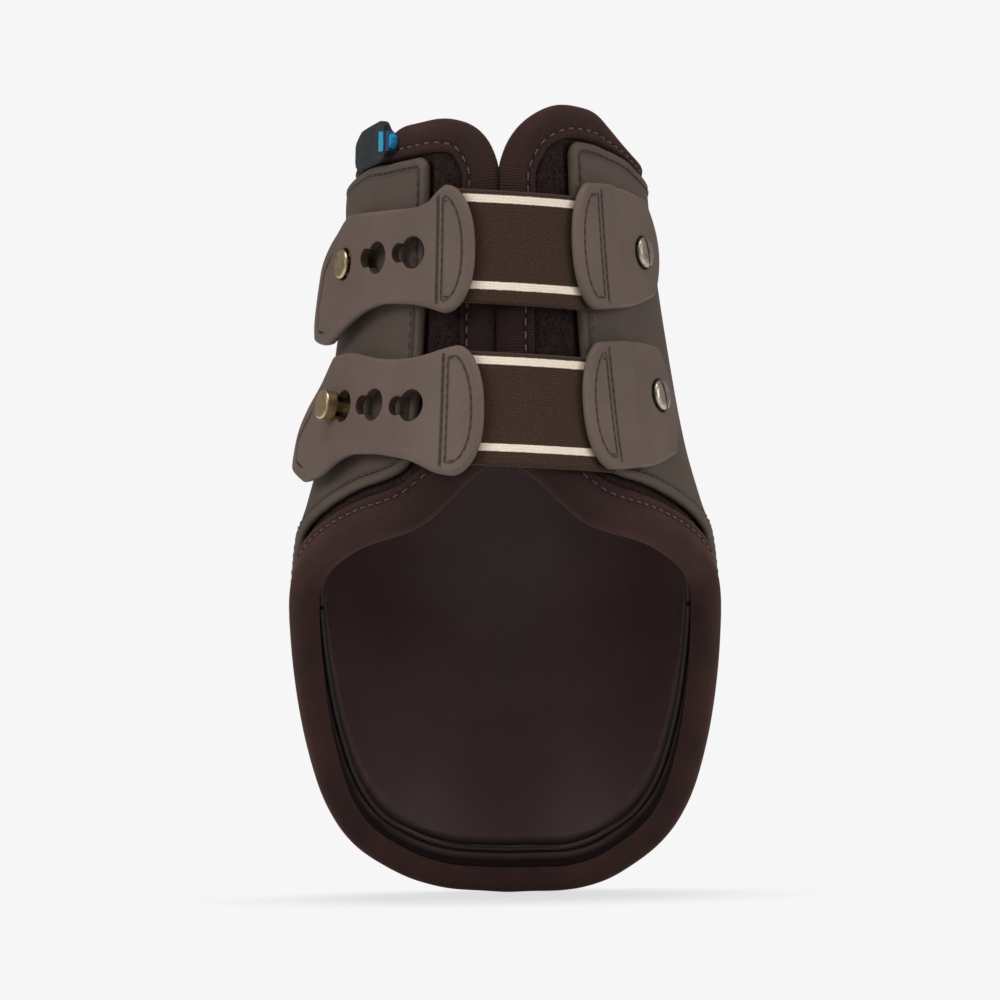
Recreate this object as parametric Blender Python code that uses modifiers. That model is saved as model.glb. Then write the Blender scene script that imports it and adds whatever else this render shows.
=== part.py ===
"""Hind fetlock boot: padded body, moulded shell, edge binding and two elastic straps with keyhole tabs.

Metres, +Z up along the leg. The front of the boot faces -Y and the leg's axis is the Z axis.
Places on the boot are an angle round the leg (0 at the front, positive towards +X), a height,
and an offset out of the mesh face along its normal.
"""
import math

import bmesh
import bpy
import numpy as np
from mathutils import Matrix, Vector

# overall sizes of the padded body, measured at the outer face of the mesh
boot_height = 0.1978
cup_half_width = 0.0523
front_depth = 0.0600
back_depth = 0.0630

# the layers of the wall and the gaps between them
layer_gap = 0.0005
fit_gap = 0.0003
mesh_thickness = 0.0012
foam_thickness = 0.0045
lining_thickness = 0.0012
shell_thickness = 0.0024

# edge binding
binding_width = 0.0084
binding_low_width = 0.0094
binding_side_width = 0.0035
binding_proud = 0.0017
binding_lap = 0.0004
shell_margin = 0.0036
left_lobe_drop = 0.0035

# welt inside the cup
welt_radius = 0.0010
welt_inset = 0.0120
welt_clearance = 0.0008

# elastic webbing and moulded tabs
webbing_width = 0.0286
webbing_thickness = 0.0016
tab_height = 0.0320
tab_thickness = 0.0024
tab_float = 0.0010
tab_tip_lift = 0.0016
thread_radius = 0.00035

# keyholes and studs
stud_head_radius = 0.0036
stud_head_height = 0.0024
stud_neck_radius = 0.0021
stud_shank_radius = 0.0017
flange_radius = 0.0045
flange_thickness = 0.0010
keyhole_clearance = 0.00035
keyhole_travel = 0.0052
keyhole_pitch = 0.0140

# screws and their barrel posts
screw_head_radius = 0.0038
screw_head_height = 0.0018
screw_shank_radius = 0.0014
post_radius = 0.0022
slot_width = 0.0009
slot_depth = 0.0008

# folded label at the top left
label_height = 0.0125
label_thickness = 0.0014

# one overrun serves every cutter
cut_overrun = 0.0020

# section of the body at stations up its height, as shares of the overall sizes
station_shares = (0.0, 0.10, 0.25, 0.37, 0.45, 0.50, 0.57, 0.67, 0.80, 0.90, 1.0)
half_width_shares = (0.955, 0.990, 1.0, 0.997, 0.948, 0.887, 0.816, 0.750, 0.683, 0.650, 0.635)
front_depth_shares = (0.80, 0.90, 0.97, 1.0, 0.975, 0.93, 0.86, 0.79, 0.72, 0.69, 0.67)
back_depth_shares = (0.80, 0.93, 1.0, 0.98, 0.93, 0.88, 0.80, 0.73, 0.68, 0.65, 0.64)
section_round_share = 0.35

# edges of the body: angles round the leg in degrees, heights as shares of the boot's height
front_edge_angle = 1.1
top_edge_angles = (1.1, 5, 14, 30, 45, 54, 62, 70, 80, 92, 120, 150, 180)
top_edge_shares = (0.922, 0.950, 0.983, 1.0, 0.994, 0.974, 0.954, 0.942, 0.933, 0.925, 0.897, 0.876, 0.87)
bottom_edge_angles = (1.1, 11, 29, 45, 58, 70, 80, 90, 98, 107, 118, 130, 140, 152, 164, 180)
bottom_edge_shares = (0.568, 0.538, 0.474, 0.445, 0.425, 0.400, 0.372, 0.325, 0.250, 0.176, 0.109,
                      0.0655, 0.0395, 0.0165, 0.0045, 0.0)
shell_front_angle = 28.5
shell_column_angle = 1.0
column_bunch_share = 0.06
lobe_end_angle = 75.0
side_binding_angles = (45.0, 66.0)
low_binding_angles = (6.0, 28.0)
welt_angle = 66.0

# the binding's rolled section: across its width, and across its thickness
binding_section_shares = ((1.0, 0.72), (0.86, 1.0), (0.42, 1.0), (0.10, 0.72), (0.0, 0.0),
                          (0.10, -0.72), (0.42, -1.0), (0.86, -1.0), (1.0, -0.72))

# domed heads, from the middle of the top out and down: shares of the head's radius and height
stud_head_shares = ((0.0, 1.0), (0.55, 0.92), (0.90, 0.65), (1.0, 0.38), (1.0, 0.15), (0.93, 0.0))
screw_head_shares = ((0.0, 1.0), (0.60, 0.92), (0.92, 0.68), (1.0, 0.40), (1.0, 0.0))

# each strap: height of its centre as a share of the boot, places along it in degrees, and its
# edges, stud and screw above or below the centre as shares of the tab's height
straps = {
    "upper": {
        "centre_share": 0.8175,
        "tip_angles": (70, 83, 87, 85, 77, 63),
        "edge_angles": (7, 13, 16.5, 20, 23, 29, 38, 46, 55, 65, 75, 86),
        "top_shares": (0.505, 0.505, 0.487, 0.425, 0.36, 0.321, 0.312, 0.303, 0.295, 0.28, 0.22, 0.17),
        "bottom_shares": (-0.52, -0.525, -0.522, -0.497, -0.473, -0.44, -0.43, -0.465, -0.55, -0.67,
                          -0.77, -0.81),
        "stud_angle": 63.2,
        "keyhole_height_shares": (-0.103, -0.081, -0.05),
        "d_end_angles": (7.3, 16.5),
        "groove_angle": 19.2,
        "screw_share": -0.04,
        "screw_angle": 58.9,
        "far_angles": (76.0, 66.0),
    },
    "lower": {
        "centre_share": 0.6133,
        "tip_angles": (73, 84, 88, 80, 71, 64),
        "edge_angles": (4.5, 9, 12.5, 17, 21, 26, 32, 39, 46, 54, 63, 75, 86),
        "top_shares": (0.50, 0.505, 0.492, 0.465, 0.435, 0.41, 0.40, 0.408, 0.435, 0.46, 0.44, 0.36, 0.30),
        "bottom_shares": (-0.52, -0.53, -0.535, -0.515, -0.465, -0.405, -0.37, -0.347, -0.345, -0.405,
                          -0.52, -0.565, -0.56),
        "stud_angle": 59.2,
        "keyhole_height_shares": (0.04, 0.045, 0.031),
        "d_end_angles": (4.7, 12.5),
        "groove_angle": 16.4,
        "screw_share": 0.10,
        "screw_angle": 57.5,
        "far_angles": (70.0, 62.0),
    },
}
tip_place_shares = (-1.0, -0.8, -0.3, 0.3, 0.7, 1.0)
tip_lift_angles = (68.0, 86.0)
anchor_d_angles = (23.0, 29.5)
anchor_edge_angles = (23, 30, 48, 60, 76)
anchor_edge_shares = (0.46, 0.50, 0.47, 0.41, 0.33)
anchor_groove_angle = 35.0
anchor_settle_angles = (39.0, 47.0)
label_angles = (-75.5, -45.0)
stitch_place_share = 0.78
stitch_front_share = 0.22
stitch_back_share = 0.90
d_round_share = 0.97

# how finely the surfaces are faceted
wall_columns = 44
wall_rows = 9
tab_columns = 20
anchor_columns = 15
tab_rows = 6
webbing_columns = 12
webbing_rows = 3
label_columns = 6
stitch_points = 9
keyhole_points = 12
turned_steps = 18
front_points = 7
walk_steps = 10

# offsets out of the mesh face, worked out from the layers
foam_outer = -mesh_thickness - layer_gap
lining_outer = foam_outer - foam_thickness - layer_gap
wall_inner = lining_outer - lining_thickness
shell_inner = layer_gap
shell_outer = shell_inner + shell_thickness
webbing_inner = shell_outer + layer_gap
webbing_outer = webbing_inner + webbing_thickness
stud_flange_bottom = shell_outer + fit_gap
stud_flange_top = stud_flange_bottom + flange_thickness
tab_inner = max(webbing_outer + layer_gap, stud_flange_top + tab_float)
tab_outer = tab_inner + tab_thickness
anchor_inner = shell_outer + layer_gap
anchor_outer = anchor_inner + tab_thickness
backing_top = shell_inner - layer_gap - fit_gap / 2
backing_bottom = backing_top - flange_thickness
probe_angle = math.radians(0.5)
probe_height = boot_height / 400


def smooth_curve(places, xs, ys):
    """Value of a smooth curve through the points (xs, ys): cubic between them, with no overshoot."""
    xs = np.asarray(xs, float)
    ys = np.asarray(ys, float)
    steps = np.diff(xs)
    slopes = np.diff(ys) / steps
    tangents = np.zeros_like(ys)
    same_way = slopes[:-1] * slopes[1:] > 0
    weighted = 2 * slopes[:-1] * slopes[1:] / np.where(same_way, slopes[:-1] + slopes[1:], 1)
    tangents[1:-1] = np.where(same_way, weighted, 0)
    tangents[0], tangents[-1] = slopes[0], slopes[-1]
    places = np.clip(places, xs[0], xs[-1])
    k = np.clip(np.searchsorted(xs, places, side="right") - 1, 0, len(steps) - 1)
    t = (places - xs[k]) / steps[k]
    rise = ys[k + 1] - ys[k]
    start, end = tangents[k] * steps[k], tangents[k + 1] * steps[k]
    return ys[k] + t * start + t * t * (3 * rise - 2 * start - end) + t**3 * (start + end - 2 * rise)


def ease(value, start, end):
    """0 before start, 1 after end, and a smooth rise between."""
    t = np.clip((np.asarray(value, float) - start) / (end - start), 0, 1)
    return t * t * (3 - 2 * t)


def folded(theta):
    """The angle from the front, in degrees from 0 to 180, whichever side it is on."""
    turn = np.degrees(np.asarray(theta, float)) % 360
    return np.minimum(turn, 360 - turn)


def is_left(theta):
    return np.degrees(np.asarray(theta, float)) % 360 > 180


def skin(theta, height):
    """Point on the outer face of the mesh: an egg-shaped section, pointed at the front."""
    theta, height = np.broadcast_arrays(np.asarray(theta, float), np.asarray(height, float))
    share = height / boot_height
    half = cup_half_width * smooth_curve(share, station_shares, half_width_shares)
    front = front_depth * smooth_curve(share, station_shares, front_depth_shares)
    back = back_depth * smooth_curve(share, station_shares, back_depth_shares)
    c = np.cos(theta)
    nose = -front * (section_round_share * c + (1 - section_round_share) * c * c)
    return np.stack([half * np.sin(theta), np.where(c > 0, nose, -back * c), height], -1)


def normal(theta, height):
    """Outward normal of the mesh face, from small steps along it."""
    across = skin(theta + probe_angle, height) - skin(theta - probe_angle, height)
    up = skin(theta, height + probe_height) - skin(theta, height - probe_height)
    out = np.cross(across, up)
    return out / np.linalg.norm(out, axis=-1, keepdims=True)


def surface(theta, height, offset):
    """Point at an offset out of the mesh face."""
    return skin(theta, height) + normal(theta, height) * np.asarray(offset, float)[..., None]


def girth_rate(theta, height, offset=0.0):
    """Distance round the leg for each radian."""
    ahead = surface(theta + probe_angle, height, np.zeros_like(theta) + offset)
    behind = surface(theta - probe_angle, height, np.zeros_like(theta) + offset)
    return np.linalg.norm(ahead - behind, axis=-1) / (2 * probe_angle)


def walk(theta, height, distance, offset=0.0):
    """The angle reached by going a distance round the leg at one height, in small steps."""
    for _ in range(walk_steps):
        theta = theta + distance / walk_steps / girth_rate(theta, height, offset)
    return theta


def top_edge(theta):
    """Height of the boot's top edge: two lobes at the front, lower at the back."""
    turn = folded(theta)
    height = boot_height * smooth_curve(turn, top_edge_angles, top_edge_shares)
    bump = np.sin(math.pi * np.clip(turn / lobe_end_angle, 0, 1)) ** 2
    return height - left_lobe_drop * bump * is_left(theta)


def bottom_edge(theta):
    """Height of the boot's bottom edge, which falls from the front to the back of the cup."""
    return boot_height * smooth_curve(folded(theta), bottom_edge_angles, bottom_edge_shares)


def outline():
    """The boot's edge as a closed loop of angles and heights, with the name of each stretch."""
    first = math.radians(front_edge_angle)
    turns = np.linspace(0, 1, wall_columns + 1)
    # closer columns towards the front, where the edge curves most
    turns = turns - column_bunch_share * np.sin(2 * math.pi * turns)
    round_leg = first + (2 * math.pi - 2 * first) * turns
    rise = np.linspace(0, 1, front_points + 2)[1:-1]
    low, high = bottom_edge(first), top_edge(first)
    low_left, high_left = bottom_edge(-first), top_edge(-first)
    right, left = np.full(front_points, first), np.full(front_points, 2 * math.pi - first)
    angles = np.concatenate([right, round_leg, left, round_leg[::-1]])
    heights = np.concatenate([
        low + (high - low) * rise,
        top_edge(round_leg),
        high_left + (low_left - high_left) * rise,
        bottom_edge(round_leg)[::-1],
    ])
    count = len(round_leg)
    kinds = ["front"] * front_points + ["top"] * count + ["front"] * front_points + ["bottom"] * count
    return angles, heights, np.array(kinds)


def edge_width(angles, kinds):
    """Width of the binding along the outline: narrow round the top's sides and back, wide below."""
    narrow = ease(folded(angles), *side_binding_angles) * (kinds == "top")
    wide = ease(folded(angles), *low_binding_angles) * (kinds == "bottom")
    return (binding_width + (binding_side_width - binding_width) * narrow
            + (binding_low_width - binding_width) * wide)


def inset(distance):
    """The outline moved into the boot by a distance for each of its points."""
    angles, heights, kinds = outline()
    rate = girth_rate(angles, heights)
    ahead_angle = np.roll(angles, -1) - angles
    ahead_height = np.roll(heights, -1) - heights
    run = np.stack([ahead_angle * rate, ahead_height], -1)
    run = run / np.linalg.norm(run, axis=-1, keepdims=True)
    before = np.roll(run, 1, axis=0)
    inward = np.stack([run[:, 1] + before[:, 1], -run[:, 0] - before[:, 0]], -1)
    inward = inward / np.linalg.norm(inward, axis=-1, keepdims=True)
    mitre = distance / np.clip((inward * np.stack([run[:, 1], -run[:, 0]], -1)).sum(-1), 0.5, 1)
    return walk(angles, heights, inward[:, 0] * mitre), heights + inward[:, 1] * mitre


def level(theta, edge, stretch):
    """Height of one stretch of an inset edge at the given angles."""
    turned, raised = edge[0][stretch], edge[1][stretch]
    order = np.argsort(turned)
    return np.interp(theta, turned[order], raised[order])


def wall_grid():
    """Angles and heights of the wall's grid, inside the binding. Its second row is the shell's edge.

    The first and last rows are the binding's own points moved in, so the two edges run side by side.
    """
    angles, _, kinds = outline()
    width = edge_width(angles, kinds)
    edge = inset(width + layer_gap)
    shell_edge = inset(width + layer_gap + shell_margin)
    top, bottom = np.flatnonzero(kinds == "top"), np.flatnonzero(kinds == "bottom")[::-1]
    front = np.concatenate([bottom[:1], np.flatnonzero(kinds == "front")[:front_points], top[:1]])
    low_turn, high_turn = edge[0][bottom], edge[0][top]
    low, high = edge[1][bottom], edge[1][top]
    side = np.linspace(1, -1, len(low))
    rows = np.linspace(0, 1, wall_rows + 1)[:, None]
    shell_low = low + shell_margin
    for _ in range(walk_steps):
        height = shell_low + (high - shell_low) * rows
        theta = low_turn + (high_turn - low_turn) * (height - low) / (high - low)
        # the first and last columns keep to the front edge
        first = np.interp(height[:, 0], edge[1][front], edge[0][front])
        theta = theta + (first - theta[:, 0])[:, None] * side
        shell_low = level(theta[0], shell_edge, bottom)
    return np.vstack([low_turn, theta]), np.vstack([low, height])


def shell_grid(theta, height):
    """The part of the wall's grid that the shell covers, ended at one angle either side of the front."""
    theta, height = theta[1:], height[1:].copy()
    height[-1] -= layer_gap
    kept = (folded(theta) > shell_front_angle + shell_column_angle).all(0)
    ends = math.radians(shell_front_angle), 2 * math.pi - math.radians(shell_front_angle)
    turns, rises = [theta[:, kept]], [height[:, kept]]
    for end in ends:
        turns.append(np.full((len(theta), 1), end))
        rises.append(np.array([[np.interp(end, *row)] for row in zip(theta, height)]))
    return np.hstack([turns[1], turns[0], turns[2]]), np.hstack([rises[1], rises[0], rises[2]])


def clear_scene():
    for thing in list(bpy.data.objects):
        bpy.data.objects.remove(thing, do_unlink=True)


def new_collection(name):
    collection = bpy.data.collections.new(name)
    bpy.context.scene.collection.children.link(collection)
    return collection


def finish(name, colour, roughness, metallic=0.0):
    """A Principled BSDF with one colour."""
    material = bpy.data.materials.new(name)
    material.use_nodes = True
    shader = next(n for n in material.node_tree.nodes if n.type == "BSDF_PRINCIPLED")
    shader.inputs["Base Color"].default_value = (*colour, 1.0)
    shader.inputs["Roughness"].default_value = roughness
    shader.inputs["Metallic"].default_value = metallic
    return material


def add_object(name, mesh, collection, material=None):
    thing = bpy.data.objects.new(name, mesh)
    collection.objects.link(thing)
    if material is not None:
        mesh.materials.append(material)
    mesh.shade_smooth()
    mesh.set_sharp_from_angle(angle=math.radians(40))
    return thing


def grid_faces(rows, columns):
    """Quads of a grid of points, facing out of the boot."""
    k = np.arange(rows * columns).reshape(rows, columns)
    return np.stack([k[:-1, :-1], k[:-1, 1:], k[1:, 1:], k[1:, :-1]], -1).reshape(-1, 4).tolist()


def sheet(name, theta, height, inner, thickness, collection, material):
    """An open surface at the inner offset, given its thickness outwards by Solidify."""
    points = surface(theta, height, np.zeros_like(theta) + inner)
    mesh = bpy.data.meshes.new(name)
    mesh.from_pydata(points.reshape(-1, 3).tolist(), [], grid_faces(*theta.shape))
    thing = add_object(name, mesh, collection, material)
    solid = thing.modifiers.new("thickness", "SOLIDIFY")
    solid.thickness = thickness
    solid.offset = 1.0
    return thing


def make_binding(collection, material):
    """A rolled section carried round the whole outline."""
    angles, heights, kinds = outline()
    width = edge_width(angles, kinds)
    middle = (binding_proud + wall_inner - binding_lap) / 2
    half = (binding_proud - wall_inner + binding_lap) / 2
    rings = []
    for across, through in binding_section_shares:
        theta, height = inset(width * across)
        rings.append(surface(theta, height, np.full(len(theta), middle + half * through)))
    points = np.stack(rings, 1)
    count, sides = points.shape[:2]
    k = np.arange(count * sides).reshape(count, sides)
    ahead, beside = np.roll(k, -1, axis=0), np.roll(k, -1, axis=1)
    both = np.roll(ahead, -1, axis=1)
    faces = np.stack([k, beside, both, ahead], -1).reshape(-1, 4)
    mesh = bpy.data.meshes.new("edge_binding")
    mesh.from_pydata(points.reshape(-1, 3).tolist(), [], faces.tolist())
    shape = bmesh.new()
    shape.from_mesh(mesh)
    bmesh.ops.recalc_face_normals(shape, faces=shape.faces)
    shape.to_mesh(mesh)
    shape.free()
    return add_object("edge_binding", mesh, collection, material)


def tube(name, points, radius, collection, material, closed=False, fineness=1):
    """A round thread or bead along points, made as a bevelled curve and then a mesh."""
    curve = bpy.data.curves.new(name, "CURVE")
    curve.dimensions = "3D"
    curve.bevel_depth = radius
    curve.bevel_resolution = fineness
    curve.use_fill_caps = not closed
    spline = curve.splines.new("POLY")
    spline.points.add(len(points) - 1)
    spline.points.foreach_set("co", np.c_[points, np.ones(len(points))].ravel())
    spline.use_cyclic_u = closed
    guide = bpy.data.objects.new(name + "_path", curve)
    collection.objects.link(guide)
    bpy.context.view_layer.update()
    mesh = bpy.data.meshes.new_from_object(guide.evaluated_get(bpy.context.evaluated_depsgraph_get()))
    bpy.data.objects.remove(guide, do_unlink=True)
    shape = bmesh.new()
    shape.from_mesh(mesh)
    bmesh.ops.remove_doubles(shape, verts=shape.verts, dist=radius / 100)
    bmesh.ops.recalc_face_normals(shape, faces=shape.faces)
    shape.to_mesh(mesh)
    shape.free()
    mesh.materials.clear()
    return add_object(name, mesh, collection, material)


def place_on(theta, height, offset=0.0):
    """Matrix standing on the boot: +Z out along the normal, +X level round the leg to the right."""
    theta, height = np.float64(theta), np.float64(height)
    out = Vector(normal(theta, height))
    right = Vector((0, 0, 1)).cross(out).normalized()
    up = out.cross(right)
    frame = Matrix((right, up, out)).transposed().to_4x4()
    frame.translation = Vector(surface(theta, height, np.float64(offset)))
    return frame


def turned(name, profile, frame, collection, material=None):
    """A profile of (radius, height) pairs, inner top to outer bottom, spun about its own Z axis."""
    mesh = bpy.data.meshes.new(name)
    edges = [(k, k + 1) for k in range(len(profile) - 1)]
    mesh.from_pydata([(radius, 0.0, height) for radius, height in profile], edges, [])
    thing = add_object(name, mesh, collection, material)
    thing.matrix_world = frame
    spin = thing.modifiers.new("spin", "SCREW")
    spin.steps = turned_steps
    spin.render_steps = turned_steps
    spin.use_merge_vertices = True
    spin.merge_threshold = fit_gap / 30
    spin.use_smooth_shade = True
    return thing


def as_cutter(thing):
    thing.hide_render = True
    thing.display_type = "WIRE"
    return thing


def cut(target, cutter):
    hole = target.modifiers.new("cut " + cutter.name, "BOOLEAN")
    hole.operation = "DIFFERENCE"
    hole.solver = "EXACT"
    hole.object = cutter


def round_cutter(name, frame, radius, low, high, cutters):
    """A cylinder standing on the frame, from one offset to another."""
    profile = ((0.0, high), (radius, high), (radius, low), (0.0, low))
    return as_cutter(turned(name, profile, frame, cutters))


def keyhole_cutter(name, frame, cutters):
    """A small round hole at the frame's origin, joined by a slot to a large one towards +X."""
    small = stud_neck_radius + keyhole_clearance
    large = stud_head_radius + keyhole_clearance
    waist = small - keyhole_clearance / 3
    small_turn, large_turn = math.asin(waist / small), math.asin(waist / large)
    near = np.linspace(small_turn, 2 * math.pi - small_turn, keyhole_points)
    far = np.linspace(large_turn - math.pi, math.pi - large_turn, keyhole_points)
    x = np.concatenate([small * np.cos(near), keyhole_travel + large * np.cos(far)])
    y = np.concatenate([small * np.sin(near), large * np.sin(far)])
    shape = bmesh.new()
    lower = [shape.verts.new((px, py, tab_inner - cut_overrun / 2)) for px, py in zip(x, y)]
    face = shape.faces.new(lower)
    body = bmesh.ops.extrude_face_region(shape, geom=[face])
    lifted = [v for v in body["geom"] if isinstance(v, bmesh.types.BMVert)]
    bmesh.ops.translate(shape, verts=lifted, vec=(0, 0, tab_thickness + cut_overrun))
    bmesh.ops.recalc_face_normals(shape, faces=shape.faces)
    mesh = bpy.data.meshes.new(name)
    shape.to_mesh(mesh)
    shape.free()
    thing = as_cutter(add_object(name, mesh, cutters))
    thing.matrix_world = frame
    return thing


def keyhole_frames(strap):
    """Frames of a tab's three keyholes, the first round the stud and the others in front of it."""
    centre = boot_height * strap["centre_share"]
    turn = math.radians(-strap["stud_angle"])
    frames = []
    for share in strap["keyhole_height_shares"]:
        height = centre + tab_height * share
        frames.append(place_on(turn, height))
        turn = float(walk(np.float64(turn), np.float64(height), keyhole_pitch, tab_outer))
    return frames


def d_end(across, near, far):
    """Angles of a D-shaped end: nearest the front in the middle, falling back to both edges."""
    bulge = 1 - np.sqrt(1 - (d_round_share * across) ** 2)
    return near + (far - near) * bulge / (1 - math.sqrt(1 - d_round_share**2))


def keyhole_tab_grid(strap):
    """Grid of a keyhole tab: a D-shaped end at the front, a drooping round tip at the side."""
    across = np.linspace(-1, 1, tab_rows + 1)[:, None]
    along = np.linspace(0, 1, tab_columns + 1)[None, :]
    front = d_end(across, *strap["d_end_angles"])
    tip = smooth_curve(across, tip_place_shares, strap["tip_angles"])
    turn = front + (tip - front) * along
    top = smooth_curve(turn, strap["edge_angles"], strap["top_shares"])
    bottom = smooth_curve(turn, strap["edge_angles"], strap["bottom_shares"])
    centre = boot_height * strap["centre_share"]
    height = centre + tab_height * (bottom + (top - bottom) * (across + 1) / 2)
    lift = tab_tip_lift * ease(turn, *tip_lift_angles)
    return np.radians(-turn), height, tab_inner + lift


def anchor_tab_grid(strap):
    """Grid of an anchor tab: a D-shaped end at the front that settles on the shell by the screw."""
    across = np.linspace(-1, 1, tab_rows + 1)[:, None]
    along = np.linspace(0, 1, anchor_columns + 1)[None, :]
    front = d_end(across, *anchor_d_angles)
    middle, corner = strap["far_angles"]
    back = middle + (corner - middle) * across**2
    turn = front + (back - front) * along
    reach = smooth_curve(turn, anchor_edge_angles, anchor_edge_shares)
    centre = boot_height * strap["centre_share"]
    height = centre + tab_height * reach * across
    settled = ease(turn, *anchor_settle_angles)
    return np.radians(turn), height, tab_inner + (anchor_inner - tab_inner) * settled


def d_stitch(theta, height, offset, groove_angle):
    """Closed thread path inside the D-shaped end of a tab's grid, from the end back to the groove."""
    across = np.linspace(-stitch_place_share, stitch_place_share, stitch_points)
    rows = (across + 1) / 2 * (len(theta) - 1)
    end = np.interp(rows, np.arange(len(theta)), theta[:, 0])
    groove = math.copysign(math.radians(groove_angle), end[0])
    front = end + (groove - end) * stitch_front_share
    back = end + (groove - end) * stitch_back_share
    turn = np.concatenate([front, back[::-1]])
    place = np.concatenate([across, across[::-1]])
    column = np.interp(np.abs(turn), np.abs(theta[0]), np.arange(theta.shape[1]))
    low = np.interp(column, np.arange(theta.shape[1]), height[0])
    high = np.interp(column, np.arange(theta.shape[1]), height[-1])
    level_here = (low + high) / 2 + (high - low) / 2 * place
    return surface(turn, level_here, np.full(len(turn), offset))


def head_profile(shares, radius, low, height):
    """Points of a domed head from a table of shares of its radius and height."""
    return [(radius * out, low + height * up) for out, up in shares]


def make_stud(name, frame, collection, material):
    """Turned stud: domed head, neck that takes the keyhole, flange on the shell, shank through it."""
    head_low = tab_outer + tab_float
    profile = (
        *head_profile(stud_head_shares, stud_head_radius, head_low, stud_head_height),
        (stud_neck_radius, head_low),
        (stud_neck_radius, stud_flange_top),
        (flange_radius, stud_flange_top),
        (flange_radius, stud_flange_bottom),
        (stud_shank_radius, stud_flange_bottom),
        (stud_shank_radius, backing_bottom),
        (0.0, backing_bottom),
    )
    return turned(name, profile, frame, collection, material)


def make_washer(name, frame, collection, material):
    """Backing washer round the stud's shank, behind the shell."""
    bore = stud_shank_radius + fit_gap
    profile = (
        (bore, backing_bottom),
        (bore, backing_top),
        (flange_radius, backing_top),
        (flange_radius, backing_bottom),
        (bore, backing_bottom),
    )
    return turned(name, profile, frame, collection, material)


def make_post(name, frame, collection, material):
    """Barrel post with a flange behind the shell and a blind bore for the screw."""
    bore = screw_shank_radius + fit_gap
    top = anchor_outer - fit_gap
    floor = backing_bottom + flange_thickness / 2
    profile = (
        (0.0, floor),
        (bore, floor),
        (bore, top),
        (post_radius, top),
        (post_radius, backing_top),
        (flange_radius, backing_top),
        (flange_radius, backing_bottom),
        (0.0, backing_bottom),
    )
    return turned(name, profile, frame, collection, material)


def make_screw(name, frame, collection, cutters, material):
    """Slotted screw: low domed head on the anchor tab, shank down the post's bore."""
    head_low = anchor_outer + fit_gap
    floor = backing_bottom + flange_thickness / 2 + fit_gap
    profile = (
        *head_profile(screw_head_shares, screw_head_radius, head_low, screw_head_height),
        (screw_shank_radius, head_low),
        (screw_shank_radius, floor),
        (0.0, floor),
    )
    screw = turned(name, profile, frame, collection, material)
    shape = bmesh.new()
    bmesh.ops.create_cube(shape, size=1)
    size = (slot_width, 2 * screw_head_radius + cut_overrun, slot_depth + cut_overrun)
    bmesh.ops.scale(shape, verts=shape.verts, vec=size)
    middle = head_low + screw_head_height - slot_depth + size[2] / 2
    bmesh.ops.translate(shape, verts=shape.verts, vec=(0, 0, middle))
    mesh = bpy.data.meshes.new(name + "_slot")
    shape.to_mesh(mesh)
    shape.free()
    slot = as_cutter(add_object(name + "_slot", mesh, cutters))
    slot.matrix_world = frame
    cut(screw, slot)
    return screw


def swing_place(strap):
    """Point on the vertical line where a strap bends at its anchor tab's front edge."""
    turn = math.radians(anchor_d_angles[0] - 1)
    centre = boot_height * strap["centre_share"]
    return surface(np.float64(turn), np.float64(centre), np.float64(webbing_inner + webbing_thickness / 2))


def stretch_place(strap):
    """Centre of the arc that the keyhole tab lies on, where the normals at its two ends cross."""
    centre = boot_height * strap["centre_share"]
    ends = [math.radians(-strap["d_end_angles"][1]), math.radians(-strap["stud_angle"])]
    points = [surface(np.float64(turn), np.float64(centre), np.float64(tab_inner)) for turn in ends]
    lines = [normal(np.float64(turn), np.float64(centre)) for turn in ends]
    gap = points[1][:2] - points[0][:2]
    reach = np.linalg.solve(np.stack([lines[1][:2], -lines[0][:2]], 1), gap)
    x, y = points[1][:2] - lines[1][:2] * reach[0]
    return np.array([x, y, centre]), float(np.hypot(*(points[1][:2] - (x, y))))


def pivot(name, place, collection):
    empty = bpy.data.objects.new(name, None)
    empty.location = place
    collection.objects.link(empty)
    return empty


def hang(thing, empty):
    """Parents a piece to a pivot without moving it."""
    bpy.context.view_layer.update()
    thing.parent = empty
    thing.matrix_parent_inverse = empty.matrix_world.inverted()


def make_body(boot, finishes):
    """The padded wall, the shell over it, the binding round its edge and the welt in the cup."""
    theta, height = wall_grid()
    foam_inner = foam_outer - foam_thickness
    sheet("inner_lining", theta, height, wall_inner, lining_thickness, boot, finishes["lining"])
    sheet("foam_core", theta, height, foam_inner, foam_thickness, boot, finishes["foam"])
    mesh = sheet("spacer_mesh", theta, height, -mesh_thickness, mesh_thickness, boot, finishes["mesh"])
    theta, height = shell_grid(theta, height)
    shell = sheet("outer_shell", theta, height, shell_inner, shell_thickness, boot, finishes["shell"])
    make_binding(boot, finishes["binding"])
    angles, _, kinds = outline()
    turned_in, raised = inset(np.full(len(angles), welt_inset))
    inside = (kinds == "bottom") & (folded(turned_in) > welt_angle)
    offsets = np.full(inside.sum(), wall_inner - welt_clearance - welt_radius)
    bead = surface(turned_in[inside], raised[inside], offsets)
    tube("cup_welt", bead, welt_radius, boot, finishes["lining"])
    return shell, mesh


def make_label(boot, finishes):
    """Folded label that stands up from the shell's top edge on the left, over the binding."""
    angles, _, kinds = outline()
    ends = [2 * math.pi + math.radians(angle) for angle in label_angles]
    rows = np.linspace(0, 1, webbing_rows + 1)[:, None]
    theta = np.linspace(*ends, label_columns + 1) + 0 * rows
    low = level(theta[0], inset(edge_width(angles, kinds) + layer_gap), kinds == "top")
    top = low.mean() + label_height
    height = low + (top - low) * rows
    inner = binding_proud + layer_gap
    return sheet("size_label", theta, height, inner, label_thickness, boot, finishes["label"])


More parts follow.
